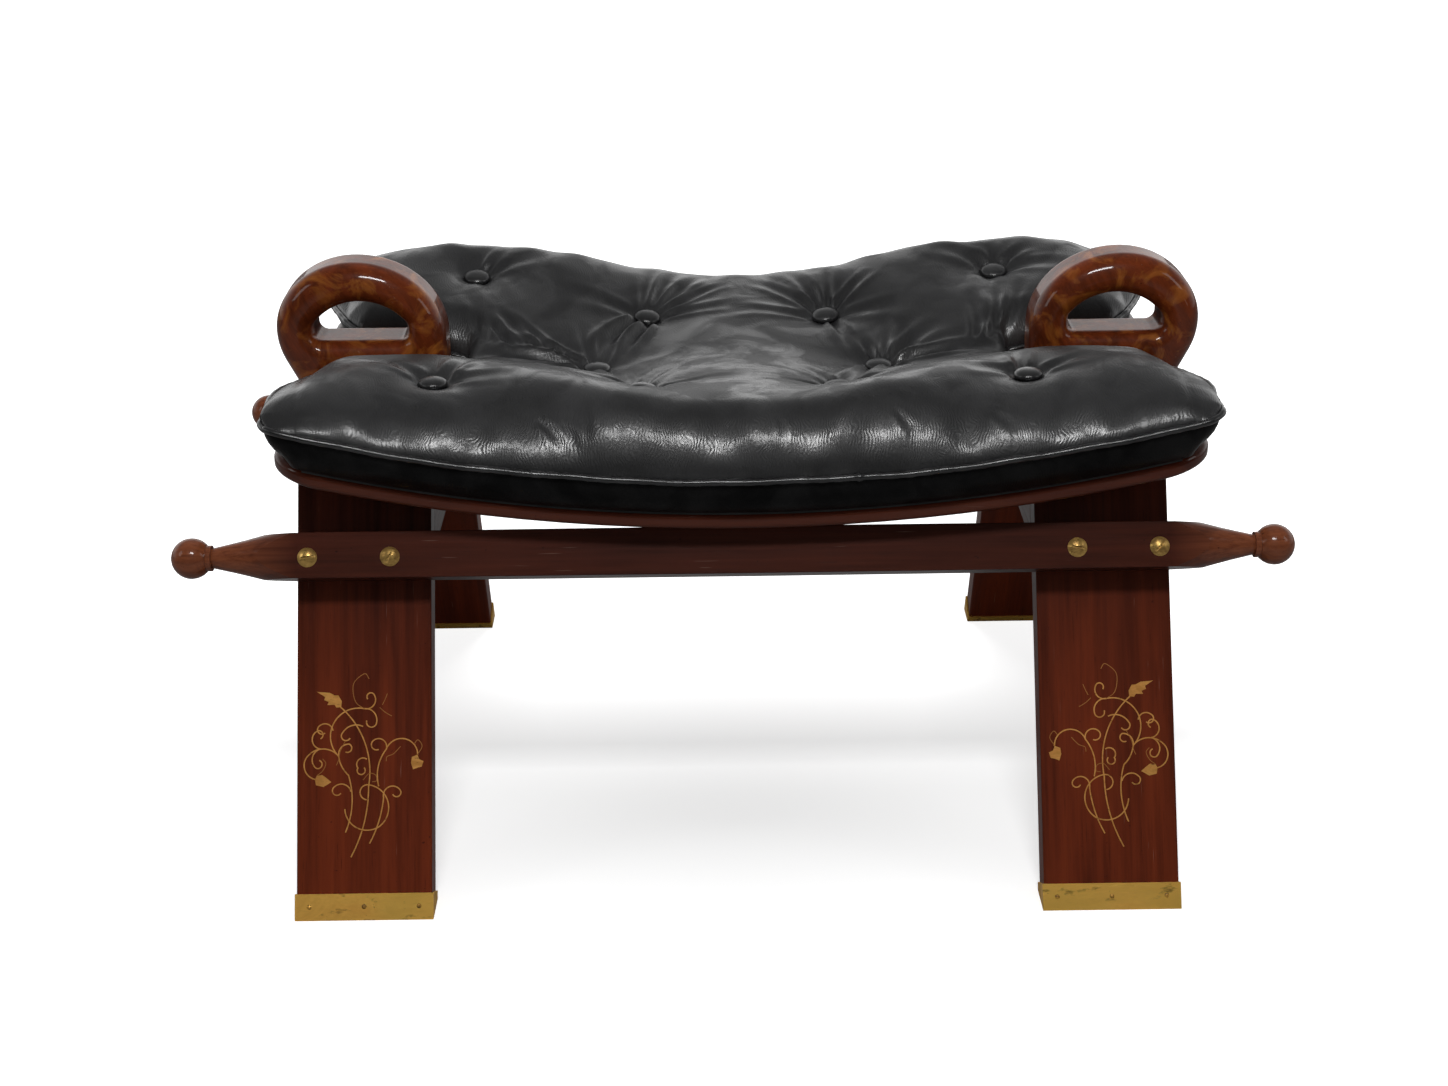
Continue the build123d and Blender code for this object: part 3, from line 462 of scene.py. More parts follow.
def boxing_rings(edge):
    """The cushion's side below the welt, ring by ring: it is tucked in just under the seam, bulges by
    half a wave, and is drawn in to its foot, most at the end. A slow wave makes it uneven."""
    ax, ay = np.abs(edge[:, 0]), np.abs(edge[:, 1])
    at_tip = ramp(ax, 268.0, 12.0)
    at_side = ramp(ay, 150.0, 20.0)
    inset = FOOT_INSET + SIDE_INSET * at_side * (1.0 - at_tip) + TIP_INSET * at_tip
    out = outward(edge)
    wave = 0.7 * np.sin(edge[:, 0] / 17.0 + 0.8) + 0.5 * np.sin(edge[:, 0] / 9.3 + 2.0)
    depth = WELT_LIFT - PAD_SEAT
    rings = []
    for t in RING_SHARES:
        tuck = inset * (0.25 * t + 0.75 * t ** 2.6) + SEAM_TUCK * np.exp(-t / 0.05)
        tuck = tuck - SIDE_BULGE * np.sin(np.pi * t)
        lump = wave * np.sin(np.pi * t) * t
        plan = edge[:, :2] - out * (tuck - lump)[:, None]
        z = seat_height(plan[:, 0], WELT_LIFT - depth * t)
        rings.append(np.column_stack([plan, z]))
    return rings


def cushion_mesh():
    """The closed leather case: its top, its side and a bottom that follows the board. Also how many
    of the faces are the top's."""
    points, faces, loop = cushion_surface()
    rings = boxing_rings(points[loop])
    count = len(loop)
    start = len(points)
    ring_index = np.array([loop] + [start + k * count + np.arange(count) for k in range(len(rings))])
    wrapped = np.concatenate([ring_index, ring_index[:, :1]], axis=1)
    top_count = len(faces)
    faces += quads(wrapped)
    points = np.concatenate([points] + rings)
    faces += bottom_faces(ring_index[-1])
    return points, faces, top_count


def bottom_faces(foot):
    """The bottom, cut into strips across the cushion between foot vertices of like place. The foot's
    loop falls into runs that start at the left end of the front, each from the last one's end."""
    middle = 2 * MIDDLE_COLUMNS
    first, last = LOBE_COLUMNS, LOBE_COLUMNS + middle
    steps = [2 * LOBE_COLUMNS + middle, LOBE_ROWS, LOBE_COLUMNS, VALLEY_ROWS, LOBE_COLUMNS, LOBE_ROWS]
    ends = np.cumsum([0] + steps + steps)
    foot = np.append(foot, foot[0])
    runs = [foot[start:end + 1] for start, end in zip(ends, ends[1:])]
    front_out, front_tip, front_in, wall, rear_in, rear_tip = runs[:6]
    rear_out, rear_tip_left, rear_in_left, wall_left, front_in_left, front_tip_left = runs[6:]
    front_in, rear_out, front_in_left = front_in[::-1], rear_out[::-1], front_in_left[::-1]
    faces = []

    def strip(lower, upper):
        for a, b, c, d in zip(lower, lower[1:], upper[1:], upper):
            faces.append([int(v) for v in (d, c, b, a)])

    strip(front_out[last:-1], front_in[:-1])
    strip(rear_in[:-1], rear_out[last:-1])
    strip(front_out[1:first + 1], front_in_left[1:])
    strip(rear_in_left[1:], rear_out[1:first + 1])
    strip(front_out[first + 1:last], rear_out[first + 1:last])
    for ring in (
        [rear_out[last - 1], front_out[last - 1], front_out[last]] + list(wall) + [rear_out[last]],
        [front_out[first + 1], rear_out[first + 1], rear_out[first]] + list(wall_left) + [front_out[first]],
        [front_out[-2]] + list(front_tip) + [front_in[-2]],
        [rear_in[-2]] + list(rear_tip) + [rear_out[-2]],
        [rear_out[1]] + list(rear_tip_left) + [rear_in_left[1]],
        [front_in_left[1]] + list(front_tip_left) + [front_out[1]],
    ):
        faces.append([int(v) for v in ring][::-1])
    return faces


def tube(path, radius, sides):
    """A tube round a closed path: at each point a circle square to the run, worked out from a level
    side and the rise square to it."""
    run = np.roll(path, -1, axis=0) - np.roll(path, 1, axis=0)
    run = run / np.linalg.norm(run, axis=1)[:, None]
    side = np.cross(run, (0.0, 0.0, 1.0))
    side = side / np.linalg.norm(side, axis=1)[:, None]
    rise = np.cross(side, run)
    angle = np.linspace(0.0, 2.0 * np.pi, sides, endpoint=False)
    radius = np.broadcast_to(radius, (len(path),))[:, None, None]
    around = side[:, None, :] * np.cos(angle)[None, :, None] + rise[:, None, :] * np.sin(angle)[None, :, None]
    points = (path[:, None, :] + radius * around).reshape(-1, 3)
    index = np.arange(len(points)).reshape(len(path), sides)
    index = np.concatenate([index, index[:, :1]], axis=1)
    index = np.concatenate([index, index[:1]], axis=0)
    return points, quads(index)


def turned(profile, sides):
    """A profile of radius and height turned about Z, closed at a pole at its last point and by a flat
    face across its first ring."""
    angle = np.linspace(0.0, 2.0 * np.pi, sides, endpoint=False)
    r, z = np.array(profile, float)[:-1].T
    ring = np.stack([
        r[:, None] * np.cos(angle),
        r[:, None] * np.sin(angle),
        np.broadcast_to(z[:, None], (len(r), sides)),
    ], -1)
    index = np.arange(ring.shape[0] * sides).reshape(-1, sides)
    index = np.concatenate([index, index[:, :1]], axis=1)
    pole = ring.shape[0] * sides
    points = np.concatenate([ring.reshape(-1, 3), [(0.0, 0.0, profile[-1][1])]])
    cap = [[int(a), int(b), pole] for a, b in zip(index[-1], index[-1][1:])]
    foot = [[int(v) for v in index[0, :-1]][::-1]]
    return points, quads(index, flipped=True) + cap + foot


def make_piece(name, points, faces, material, body, smooth_faces=True):
    """A mesh piece in the frame's metres that rides on a body."""
    mesh = bpy.data.meshes.new(name)
    mesh.from_pydata((points * MM).tolist(), [], faces)
    mesh.validate()
    mesh.polygons.foreach_set("use_smooth", np.full(len(mesh.polygons), smooth_faces))
    mesh.materials.append(material)
    mesh.update()
    piece = bpy.data.objects.new(name, mesh)
    bpy.context.scene.collection.objects.link(piece)
    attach(piece, body)
    return piece


# Shader helpers

def add(tree, kind, inputs=None, **settings):
    """A shader node with its own settings, and its sockets set or linked by name or number."""
    made = tree.nodes.new(kind)
    for key, value in settings.items():
        setattr(made, key, value)
    for key, value in (inputs or {}).items():
        socket = made.inputs[key]
        if isinstance(value, bpy.types.NodeSocket):
            tree.links.new(value, socket)
        else:
            socket.default_value = value
    return made


def noise(tree, vector, scale, detail=4.0, roughness=0.55, distortion=0.0):
    """Clouds from 0 to 1, mostly near a half."""
    inputs = {"Vector": vector, "Scale": scale, "Detail": detail, "Roughness": roughness}
    return add(tree, "ShaderNodeTexNoise", {**inputs, "Distortion": distortion}).outputs["Fac"]


def stretched(tree, vector, scale, rotation=(0.0, 0.0, 0.0)):
    """Places scaled, then turned."""
    return add(tree, "ShaderNodeMapping", {"Vector": vector, "Rotation": rotation, "Scale": scale}).outputs[0]


def remap(tree, value, low, high, to_low=0.0, to_high=1.0):
    """A straight rise between two values, level outside them."""
    inputs = {"Value": value, "From Min": low, "From Max": high, "To Min": to_low, "To Max": to_high}
    return add(tree, "ShaderNodeMapRange", inputs).outputs[0]


def maths(tree, operation, *values):
    """One operation on values or sockets."""
    return add(tree, "ShaderNodeMath", dict(enumerate(values)), operation=operation).outputs[0]


def mix(tree, factor, first, second, blend="MIX"):
    """The first colour at a factor of 0, and the second blended over it at 1."""
    inputs = {0: factor, 6: first, 7: second}
    return add(tree, "ShaderNodeMix", inputs, data_type="RGBA", blend_type=blend).outputs[2]


def bump(tree, height, strength, distance):
    """A normal tipped by the slope of a height."""
    inputs = {"Height": height, "Strength": strength, "Distance": distance}
    return add(tree, "ShaderNodeBump", inputs).outputs[0]


def group(name, inputs, outputs):
    """An empty node group with named sockets: inputs with their kinds and values, outputs with kinds."""
    tree = bpy.data.node_groups.new(name, "ShaderNodeTree")
    for label, kind, value in inputs:
        socket = tree.interface.new_socket(label, in_out="INPUT", socket_type=kind)
        if value is not None:
            socket.default_value = value
    for label, kind in outputs:
        tree.interface.new_socket(label, in_out="OUTPUT", socket_type=kind)
    return tree, tree.nodes.new("NodeGroupInput").outputs, tree.nodes.new("NodeGroupOutput").inputs


def wood_figure():
    """Wood with its grain along Z: broad figure, fine streaks and dark pores."""
    tree, given, result = group(
        "Wood figure",
        [
            ("Vector", "NodeSocketVector", None),
            ("Dark", "NodeSocketColor", (0.05, 0.01, 0.004, 1.0)),
            ("Light", "NodeSocketColor", (0.2, 0.05, 0.015, 1.0)),
            ("Figure", "NodeSocketFloat", 16.0),
            ("Swirl", "NodeSocketFloat", 0.4),
        ],
        [("Colour", "NodeSocketColor"), ("Streaks", "NodeSocketFloat"), ("Pores", "NodeSocketFloat")],
    )
    along = stretched(tree, given["Vector"], (1.0, 1.0, 0.14))
    fine = stretched(tree, given["Vector"], (1.0, 1.0, 0.03))
    figure = noise(tree, along, given["Figure"], 5.0, 0.6, given["Swirl"])
    streaks = noise(tree, fine, 420.0, 6.0, 0.65, 0.2)
    flecks = noise(tree, fine, 1500.0, 3.0, 0.6)
    pores = remap(tree, flecks, 0.62, 0.72)
    bands = remap(tree, noise(tree, fine, 110.0, 3.0, 0.6), 0.36, 0.64, 0.0, 0.34)
    broad = remap(tree, figure, 0.32, 0.68, 0.0, 0.5)
    tone = maths(tree, "ADD", broad, remap(tree, streaks, 0.3, 0.7, 0.0, 0.3))
    tone = maths(tree, "ADD", tone, bands)
    colour = mix(tree, maths(tree, "MINIMUM", tone, 1.0), given["Dark"], given["Light"])
    colour = mix(tree, maths(tree, "MULTIPLY", pores, 0.55), colour, given["Dark"])
    tree.links.new(colour, result["Colour"])
    tree.links.new(streaks, result["Streaks"])
    tree.links.new(pores, result["Pores"])
    return tree


def scuffs():
    """Thin scratches in one direction and small nicks, as a mask."""
    tree, given, result = group(
        "Scuffs",
        [("Vector", "NodeSocketVector", None), ("Spread", "NodeSocketFloat", 0.0)],
        [("Scratches", "NodeSocketFloat"), ("Nicks", "NodeSocketFloat")],
    )
    slanted = stretched(tree, given["Vector"], (1.0, 1.0, 0.05), (0.1, 0.35, 0.2))
    lines = noise(tree, slanted, 620.0, 2.0, 0.5)
    patches = noise(tree, given["Vector"], 14.0, 3.0)
    scratches = maths(tree, "MULTIPLY", remap(tree, lines, 0.7, 0.76), remap(tree, patches, 0.5, 0.62))
    dots = noise(tree, given["Vector"], 260.0, 2.0)
    level = maths(tree, "SUBTRACT", dots, given["Spread"])
    tree.links.new(scratches, result["Scratches"])
    tree.links.new(remap(tree, level, 0.72, 0.78), result["Nicks"])
    return tree


def leather_grain():
    """Leather: fine cells crossed by flowing lines, as a height, and two masks of broad and small patches."""
    tree, given, result = group(
        "Leather grain",
        [("Vector", "NodeSocketVector", None), ("Cells", "NodeSocketFloat", 700.0)],
        [("Height", "NodeSocketFloat"), ("Patches", "NodeSocketFloat"), ("Polish", "NodeSocketFloat")],
    )
    warp = add(tree, "ShaderNodeTexNoise", {"Vector": given["Vector"], "Scale": 90.0, "Detail": 3.0})
    shift = add(tree, "ShaderNodeVectorMath", {0: warp.outputs["Color"], 3: 0.006}, operation="SCALE")
    moved = add(tree, "ShaderNodeVectorMath", {0: given["Vector"], 1: shift.outputs[0]}, operation="ADD")
    cells = add(
        tree, "ShaderNodeTexVoronoi",
        {"Vector": moved.outputs[0], "Scale": given["Cells"], "Smoothness": 0.6}, feature="SMOOTH_F1",
    ).outputs["Distance"]
    lines = add(
        tree, "ShaderNodeTexWave",
        {"Vector": given["Vector"], "Scale": 165.0, "Distortion": 30.0, "Detail": 2.0, "Detail Scale": 0.35},
    ).outputs["Fac"]
    height = maths(tree, "ADD", maths(tree, "MULTIPLY", cells, -0.5), maths(tree, "MULTIPLY", lines, 0.6))
    tree.links.new(height, result["Height"])
    tree.links.new(noise(tree, given["Vector"], 24.0, 4.0), result["Patches"])
    tree.links.new(noise(tree, given["Vector"], 34.0, 3.0, 0.55, 0.8), result["Polish"])
    return tree


def patina():
    """Aged metal: bright and dull patches, dark stains and small dents."""
    tree, given, result = group(
        "Patina",
        [
            ("Vector", "NodeSocketVector", None),
            ("Bright", "NodeSocketColor", (0.6, 0.35, 0.08, 1.0)),
            ("Dull", "NodeSocketColor", (0.3, 0.18, 0.05, 1.0)),
            ("Stain", "NodeSocketColor", (0.03, 0.015, 0.006, 1.0)),
            ("Scale", "NodeSocketFloat", 60.0),
        ],
        [("Colour", "NodeSocketColor"), ("Dullness", "NodeSocketFloat"), ("Height", "NodeSocketFloat")],
    )
    clouds = noise(tree, given["Vector"], given["Scale"], 5.0, 0.65, 0.4)
    spots = noise(tree, given["Vector"], maths(tree, "MULTIPLY", given["Scale"], 3.5), 4.0, 0.6)
    dents = noise(tree, given["Vector"], maths(tree, "MULTIPLY", given["Scale"], 2.2), 2.0, 0.5)
    dull = remap(tree, clouds, 0.38, 0.62)
    colour = mix(tree, dull, given["Bright"], given["Dull"])
    colour = mix(tree, remap(tree, spots, 0.6, 0.72, 0.0, 0.85), colour, given["Stain"])
    tree.links.new(colour, result["Colour"])
    tree.links.new(dull, result["Dullness"])
    tree.links.new(dents, result["Height"])
    return tree


GROUP_MAKERS = {
    "Wood figure": wood_figure,
    "Scuffs": scuffs,
    "Leather grain": leather_grain,
    "Patina": patina,
}


def place_group(tree, name, inputs):
    """The named group, built when it is first asked for, as a node with its own values."""
    shared = bpy.data.node_groups.get(name) or GROUP_MAKERS[name]()
    return add(tree, "ShaderNodeGroup", inputs, node_tree=shared).outputs


def new_material(name, sockets):
    """A material with one Principled shader, its plain values set on the shader's own sockets."""
    material = bpy.data.materials.new(name)
    material.use_nodes = True
    tree = material.node_tree
    tree.nodes.clear()
    shader = add(tree, "ShaderNodeBsdfPrincipled", sockets)
    output = tree.nodes.new("ShaderNodeOutputMaterial")
    tree.links.new(shader.outputs[0], output.inputs["Surface"])
    place = add(tree, "ShaderNodeTexCoord").outputs["Object"]
    return material, tree, shader, place


def wood(
    name, dark, light, turn, figure, rough, coat, coat_rough, painted_shade=None, burl=1.0, amber=None, painted_highlight=None
):
    """Varnished wood, its grain turned to lie along the piece. Two heights and how much darker the wood is
    painted above them give painted shade towards the seat. A burl above 1 shortens and swirls the figure,
    amber is the colour of bright flecks, and the last argument is the colour of a painted highlight on the
    ends beyond the legs."""
    sockets = {"Coat Weight": coat, "Coat Roughness": coat_rough, "Specular IOR Level": 0.06}
    material, tree, shader, place = new_material(name, sockets)
    along = stretched(tree, stretched(tree, place, (1.0, 1.0, 1.0), turn), (1.0, 1.0, burl))
    grain = place_group(
        tree, "Wood figure",
        {"Vector": along, "Dark": dark, "Light": light, "Figure": figure, "Swirl": 0.4 * burl},
    )
    marks = place_group(tree, "Scuffs", {"Vector": along, "Spread": 0.0})
    colour = grain["Colour"]
    if amber is not None:
        flecks = noise(tree, stretched(tree, along, (1.0, 1.0, 0.3)), 38.0, 4.0, 0.6, 1.4)
        colour = mix(tree, remap(tree, flecks, 0.5, 0.72, 0.0, 0.5), colour, amber)
    # Painted highlight: the rails' turned ends beyond the legs are painted lighter and redder, broken by the
    # grain streaks
    if painted_highlight is not None:
        side = maths(tree, "ABSOLUTE", add(tree, "ShaderNodeSeparateXYZ", {0: place}).outputs["X"])
        beyond = remap(tree, side, HIGHLIGHT_FROM, HIGHLIGHT_TO)
        highlight_streaks = remap(tree, grain["Streaks"], 0.3, 0.6, 0.35, 0.9)
        colour = mix(tree, maths(tree, "MULTIPLY", beyond, highlight_streaks), colour, painted_highlight)
    # Painted shade: above the given heights the wood is darkened towards the seat
    if painted_shade is not None:
        height = add(tree, "ShaderNodeSeparateXYZ", {0: place}).outputs["Z"]
        above = remap(tree, height, painted_shade[0], painted_shade[1], 0.0, painted_shade[2])
        colour = mix(tree, above, colour, PAINTED_SHADE_TINT, "MULTIPLY")
    pale = mix(tree, 0.5, light, BARE_WOOD)
    colour = mix(tree, maths(tree, "MULTIPLY", marks["Scratches"], 0.3), colour, pale)
    colour = mix(tree, maths(tree, "MULTIPLY", marks["Nicks"], 0.8), colour, dark)
    tree.links.new(colour, shader.inputs["Base Color"])
    tree.links.new(remap(tree, grain["Streaks"], 0.3, 0.7, rough, rough + 0.12), shader.inputs["Roughness"])
    relief = maths(tree, "SUBTRACT", grain["Streaks"], maths(tree, "MULTIPLY", grain["Pores"], 0.5))
    relief = maths(tree, "SUBTRACT", relief, marks["Nicks"])
    tree.links.new(bump(tree, relief, 0.25, 0.0002), shader.inputs["Normal"])
    return material


def brass(name, bright, dull, stain, scale, rough, relief):
    """Aged brass with patches, stains and dents."""
    material, tree, shader, place = new_material(name, {"Metallic": 0.72})
    drawn_out = stretched(tree, place, (0.4, 1.0, 1.0))
    look = place_group(
        tree, "Patina", {"Vector": drawn_out, "Bright": bright, "Dull": dull, "Stain": stain, "Scale": scale}
    )
    level = stretched(tree, place, (1.0, 1.0, 1.0), (0.0, 1.4, 0.0))
    marks = place_group(tree, "Scuffs", {"Vector": level, "Spread": 0.02})
    colour = mix(tree, maths(tree, "MULTIPLY", marks["Scratches"], 0.2), look["Colour"], stain)
    colour = mix(tree, maths(tree, "MULTIPLY", marks["Nicks"], 0.9), colour, stain)
    tree.links.new(colour, shader.inputs["Base Color"])
    tree.links.new(remap(tree, look["Dullness"], 0.0, 1.0, rough, rough + 0.2), shader.inputs["Roughness"])
    height = maths(tree, "SUBTRACT", look["Height"], maths(tree, "MULTIPLY", marks["Nicks"], 0.4))
    tree.links.new(bump(tree, height, 0.5, relief), shader.inputs["Normal"])
    return material


def black_leather(name, colour, grain, cells, rough, gloss, polish):
    """Black leather: fine grain with a broad soft gloss, polished in patches by a thin clear finish."""
    sockets = {"Specular IOR Level": gloss, "Coat Roughness": 0.25}
    material, tree, shader, place = new_material(name, sockets)
    skin = place_group(tree, "Leather grain", {"Vector": place, "Cells": cells})
    # Painted sheen: the leather's colour is lifted towards grey in broad random patches
    painted_sheen_grey = tuple(min(1.0, 2.6 * channel + 0.004) for channel in colour[:3]) + (1.0,)
    tone = mix(tree, remap(tree, skin["Patches"], 0.45, 0.7, 0.0, 0.5), colour, painted_sheen_grey)
    tree.links.new(tone, shader.inputs["Base Color"])
    tree.links.new(remap(tree, skin["Patches"], 0.3, 0.7, rough, rough + 0.1), shader.inputs["Roughness"])
    finish = remap(tree, skin["Polish"], 0.42, 0.6, 0.25 * polish, polish)
    tree.links.new(finish, shader.inputs["Coat Weight"])
    surface = bump(tree, skin["Height"], grain, 0.00022)
    tree.links.new(surface, shader.inputs["Normal"])
    tree.links.new(surface, shader.inputs["Coat Normal"])
    return material


# Settings

def colour_setting(name, description, red, green, blue):
    """A colour that a user would change, in linear light."""
    return bpy.props.FloatVectorProperty(
        name=name, description=description, subtype="COLOR", size=4, default=(red, green, blue, 1.0)
    )


class StoolFinish(bpy.types.PropertyGroup):
    """Colours of the stool's finishes."""

    leg_light: colour_setting("Leg, light", "Lighter colour of the legs' stained wood", 0.16, 0.024, 0.005)
    leg_dark: colour_setting("Leg, dark", "Darker colour of the legs' stained wood", 0.04, 0.006, 0.002)
    rail_light: colour_setting("Rail, light", "Lighter colour of the side rails", 0.07, 0.015, 0.007)
    rail_dark: colour_setting("Rail, dark", "Darker colour of the side rails", 0.02, 0.006, 0.004)
    # Painted highlight on the rails' turned ends
    rail_highlight: colour_setting("Rail, painted highlight", "Colour of the side rails' turned ends", 0.19, 0.055, 0.022)
    board_light: colour_setting("Board, light", "Lighter colour of the seat board", 0.08, 0.018, 0.007)
    handle_light: colour_setting("Handle, light", "Lighter colour of the loop handles", 0.14, 0.026, 0.006)
    handle_amber: colour_setting("Handle, amber", "Bright flecks in the handles' wood", 0.42, 0.14, 0.022)
    handle_dark: colour_setting("Handle, dark", "Darker colour of the loop handles", 0.025, 0.005, 0.0015)
    brass_bright: colour_setting("Brass, bright", "Polished patches of the shoes", 1.0, 0.60, 0.12)
    brass_dull: colour_setting("Brass, dull", "Tarnished patches of the shoes", 0.70, 0.38, 0.075)
    leather: colour_setting("Leather", "Colour of the cushion's leather", 0.006, 0.006, 0.0065)
    # Painted shade: the leather below the welt is a darker copy of the top's, for the shade under the
    # overhang
    shaded_side_leather: colour_setting("Side leather, painted shade", "Leather below the welt", 0.0016, 0.0016, 0.0017)
    grain: bpy.props.FloatProperty(
        name="Leather grain", description="Strength of the leather's pebble grain",
        default=0.4, min=0.0, max=1.0,
    )


class StoolCushion(bpy.types.PropertyGroup):
    """Sizes of the cushion's trims."""

    welt_radius: bpy.props.FloatProperty(
        name="Welt radius", description="Radius of the covered cord round the cushion",
        default=2.0 * MM, unit="LENGTH",
    )
    button_height: bpy.props.FloatProperty(
        name="Button height", description="How far a button's dome stands over its rim",
        default=3.6 * MM, unit="LENGTH",
    )


class StoolStage(bpy.types.PropertyGroup):
    """The floor and the lamps."""

    key_power: bpy.props.FloatProperty(
        name="Key lamp", description="Power of the lamp above and in front", default=18.0, unit="POWER",
    )
    overhead_power: bpy.props.FloatProperty(
        name="Overhead lamp", description="Power of the soft lamp overhead", default=24.0, unit="POWER",
    )
    side_power: bpy.props.FloatProperty(
        name="Side lamps", description="Power of the front lamp and of each side lamp",
        default=3.0, unit="POWER",
    )
    fill: bpy.props.FloatProperty(
        name="Fill", description="Strength of the surroundings on matt surfaces", default=0.3, min=0.0,
    )
    ceiling: bpy.props.FloatProperty(
        name="Ceiling", description="Brightness above the white backdrop, as gloss shows it",
        default=0.2, min=0.0,
    )


# Operators

def dress(names, material):
    """Gives frame nodes their material."""
    for name in names:
        mesh = NODES[name].data
        mesh.materials.clear()
        mesh.materials.append(material)


def starting(prefix):
    """The frame's nodes of one kind."""
    return [name for name in sorted(NODES) if name.startswith(prefix)]


class STOOL_OT_woodwork(bpy.types.Operator):
    """Stains and varnishes the legs, rails, handles, blocks and board"""

    bl_idname = "camel_stool.woodwork"
    bl_label = "Finish the woodwork"

    def execute(self, context):
        look = context.scene.stool_finish
        light, dark = tuple(look.leg_light), tuple(look.leg_dark)
        for face, lean in (("front", LEG_LEAN), ("rear", -LEG_LEAN)):
            leg = wood(
                "leg_wood_" + face, dark, light, turn=(lean, 0.0, 0.0), figure=34.0, rough=0.34,
                coat=0.3, coat_rough=0.2, painted_shade=LEG_PAINTED_SHADE,
            )
            dress(starting("leg_" + face), leg)
        level = (0.0, np.pi / 2, 0.0)
        across = (np.pi / 2, 0.0, 0.0)
        rail = wood(
            "rail_wood", tuple(look.rail_dark), tuple(look.rail_light), turn=level, figure=30.0, rough=0.3,
            coat=0.5, coat_rough=0.14, painted_highlight=tuple(look.rail_highlight),
        )
        dress(starting("side_rail"), rail)
        board = wood(
            "board_wood", dark, tuple(look.board_light), turn=level, figure=12.0, rough=0.28,
            coat=0.5, coat_rough=0.12,
        )
        dress(["seat_board"], board)
        block = wood(
            "block_wood", dark, light, turn=across, figure=12.0, rough=0.34,
            coat=0.3, coat_rough=0.25, painted_shade=BLOCK_PAINTED_SHADE,
        )
        dress(starting("head_block"), block)
        handle = wood(
            "handle_wood", tuple(look.handle_dark), tuple(look.handle_light), turn=(0.0, 0.5, 0.0),
            figure=30.0, rough=0.3, coat=0.5, coat_rough=0.05, burl=4.0, amber=tuple(look.handle_amber),
        )
        dress(["handle_left", "handle_right"], handle)
        pale = wood(
            "pale_wood", PALE_DARK, PALE_LIGHT, turn=across, figure=20.0, rough=0.5, coat=0.0, coat_rough=0.3
        )
        dress(starting("leg_dowels") + starting("handle_peg"), pale)
        return {"FINISHED"}


class STOOL_OT_brasswork(bpy.types.Operator):
    """Ages the shoes, pins, screws and the vine inlay"""

    bl_idname = "camel_stool.brasswork"
    bl_label = "Finish the brass"

    def execute(self, context):
        look = context.scene.stool_finish
        bright, dull = tuple(look.brass_bright), tuple(look.brass_dull)
        shoes = brass("aged_brass", bright, dull, BRASS_STAIN, scale=42.0, rough=0.36, relief=0.0005)
        dress(starting("shoe_front") + starting("shoe_rear"), shoes)
        pins = brass("pin_brass", dull, PIN_DULL, BRASS_STAIN, scale=300.0, rough=0.4, relief=0.0002)
        dress(starting("shoe_pins"), pins)
        screws = brass(
            "screw_brass", SCREW_BRIGHT, SCREW_DULL, BRASS_STAIN, scale=220.0, rough=0.26, relief=0.0003
        )
        dress(starting("rail_screws"), screws)
        steel = brass("steel", STEEL_BRIGHT, STEEL_DULL, STEEL_STAIN, scale=200.0, rough=0.3, relief=0.0002)
        dress(starting("board_screws"), steel)
        inlay = brass(
            "inlay_brass", INLAY_BRIGHT, INLAY_DULL, INLAY_STAIN, scale=120.0, rough=0.4, relief=0.0001
        )
        dress(starting("vine_inlay"), inlay)
        return {"FINISHED"}


class STOOL_OT_cushion(bpy.types.Operator):
    """Makes the tufted leather case of the cushion"""

    bl_idname = "camel_stool.cushion"
    bl_label = "Make the cushion"

    def execute(self, context):
        look = context.scene.stool_finish
        leather = black_leather(
            "black_leather", tuple(look.leather), look.grain, cells=620.0, rough=0.5, gloss=0.5, polish=0.9
        )
        points, faces, top_count = cushion_mesh()
        points[:, 0] += SEAT_X
        cushion = make_piece("cushion_leather", points, faces, leather, "cushion")
        # Painted shade: the side below the welt gets a darker, less glossy copy of the leather, for the shade
        # under the overhang
        side = black_leather(
            "shaded_side_leather", tuple(look.shaded_side_leather), 0.6 * look.grain,
            cells=620.0, rough=0.35, gloss=0.06, polish=0.2,
        )
        cushion.data.materials.append(side)
        below = np.arange(len(cushion.data.polygons)) >= top_count
        cushion.data.polygons.foreach_set("material_index", below.astype(np.int32))
        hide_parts("cushion_pad")
        cloth = black_leather(
            "base_cloth", BASE_CLOTH, grain=0.3, cells=1500.0, rough=0.7, gloss=0.1, polish=0.0
        )
        dress(["cushion_base"], cloth)
        return {"FINISHED"}


class STOOL_OT_welt(bpy.types.Operator):
    """Lays the covered cord along the seam round the cushion"""

    bl_idname = "camel_stool.welt"
    bl_label = "Make the welt"

    def execute(self, context):
        radius = context.scene.stool_cushion.welt_radius / MM
        points, _, loop = cushion_surface()
        edge = points[loop]
        out = outward(edge)
        length = np.concatenate([[0.0], np.cumsum(np.linalg.norm(np.diff(edge, axis=0), axis=1))])
        wobble = 0.35 * np.sin(length / 23.0) + 0.2 * np.sin(length / 7.1 + 1.0)
        path = edge.copy()
        path[:, :2] += out * WELT_OUT
        path[:, 2] += wobble - WELT_SINK
        path[:, 0] += SEAT_X
        join = (edge[:, 1] < 0) * np.exp(-(((edge[:, 0] - WELT_JOIN_X) / 1.4) ** 2))
        pinch = radius * (1.0 + 0.06 * np.sin(length / 1.7) + 0.35 * join)
        tube_points, tube_faces = tube(path, pinch, 12)
        look = context.scene.stool_finish
        leather = black_leather(
            "welt_leather", tuple(look.leather), 0.5 * look.grain,
            cells=900.0, rough=0.35, gloss=0.5, polish=1.0,
        )
        welt = make_piece("cushion_welt", tube_points, tube_faces, leather, "cushion")
        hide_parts("cushion_piping")
        return {"FINISHED"}


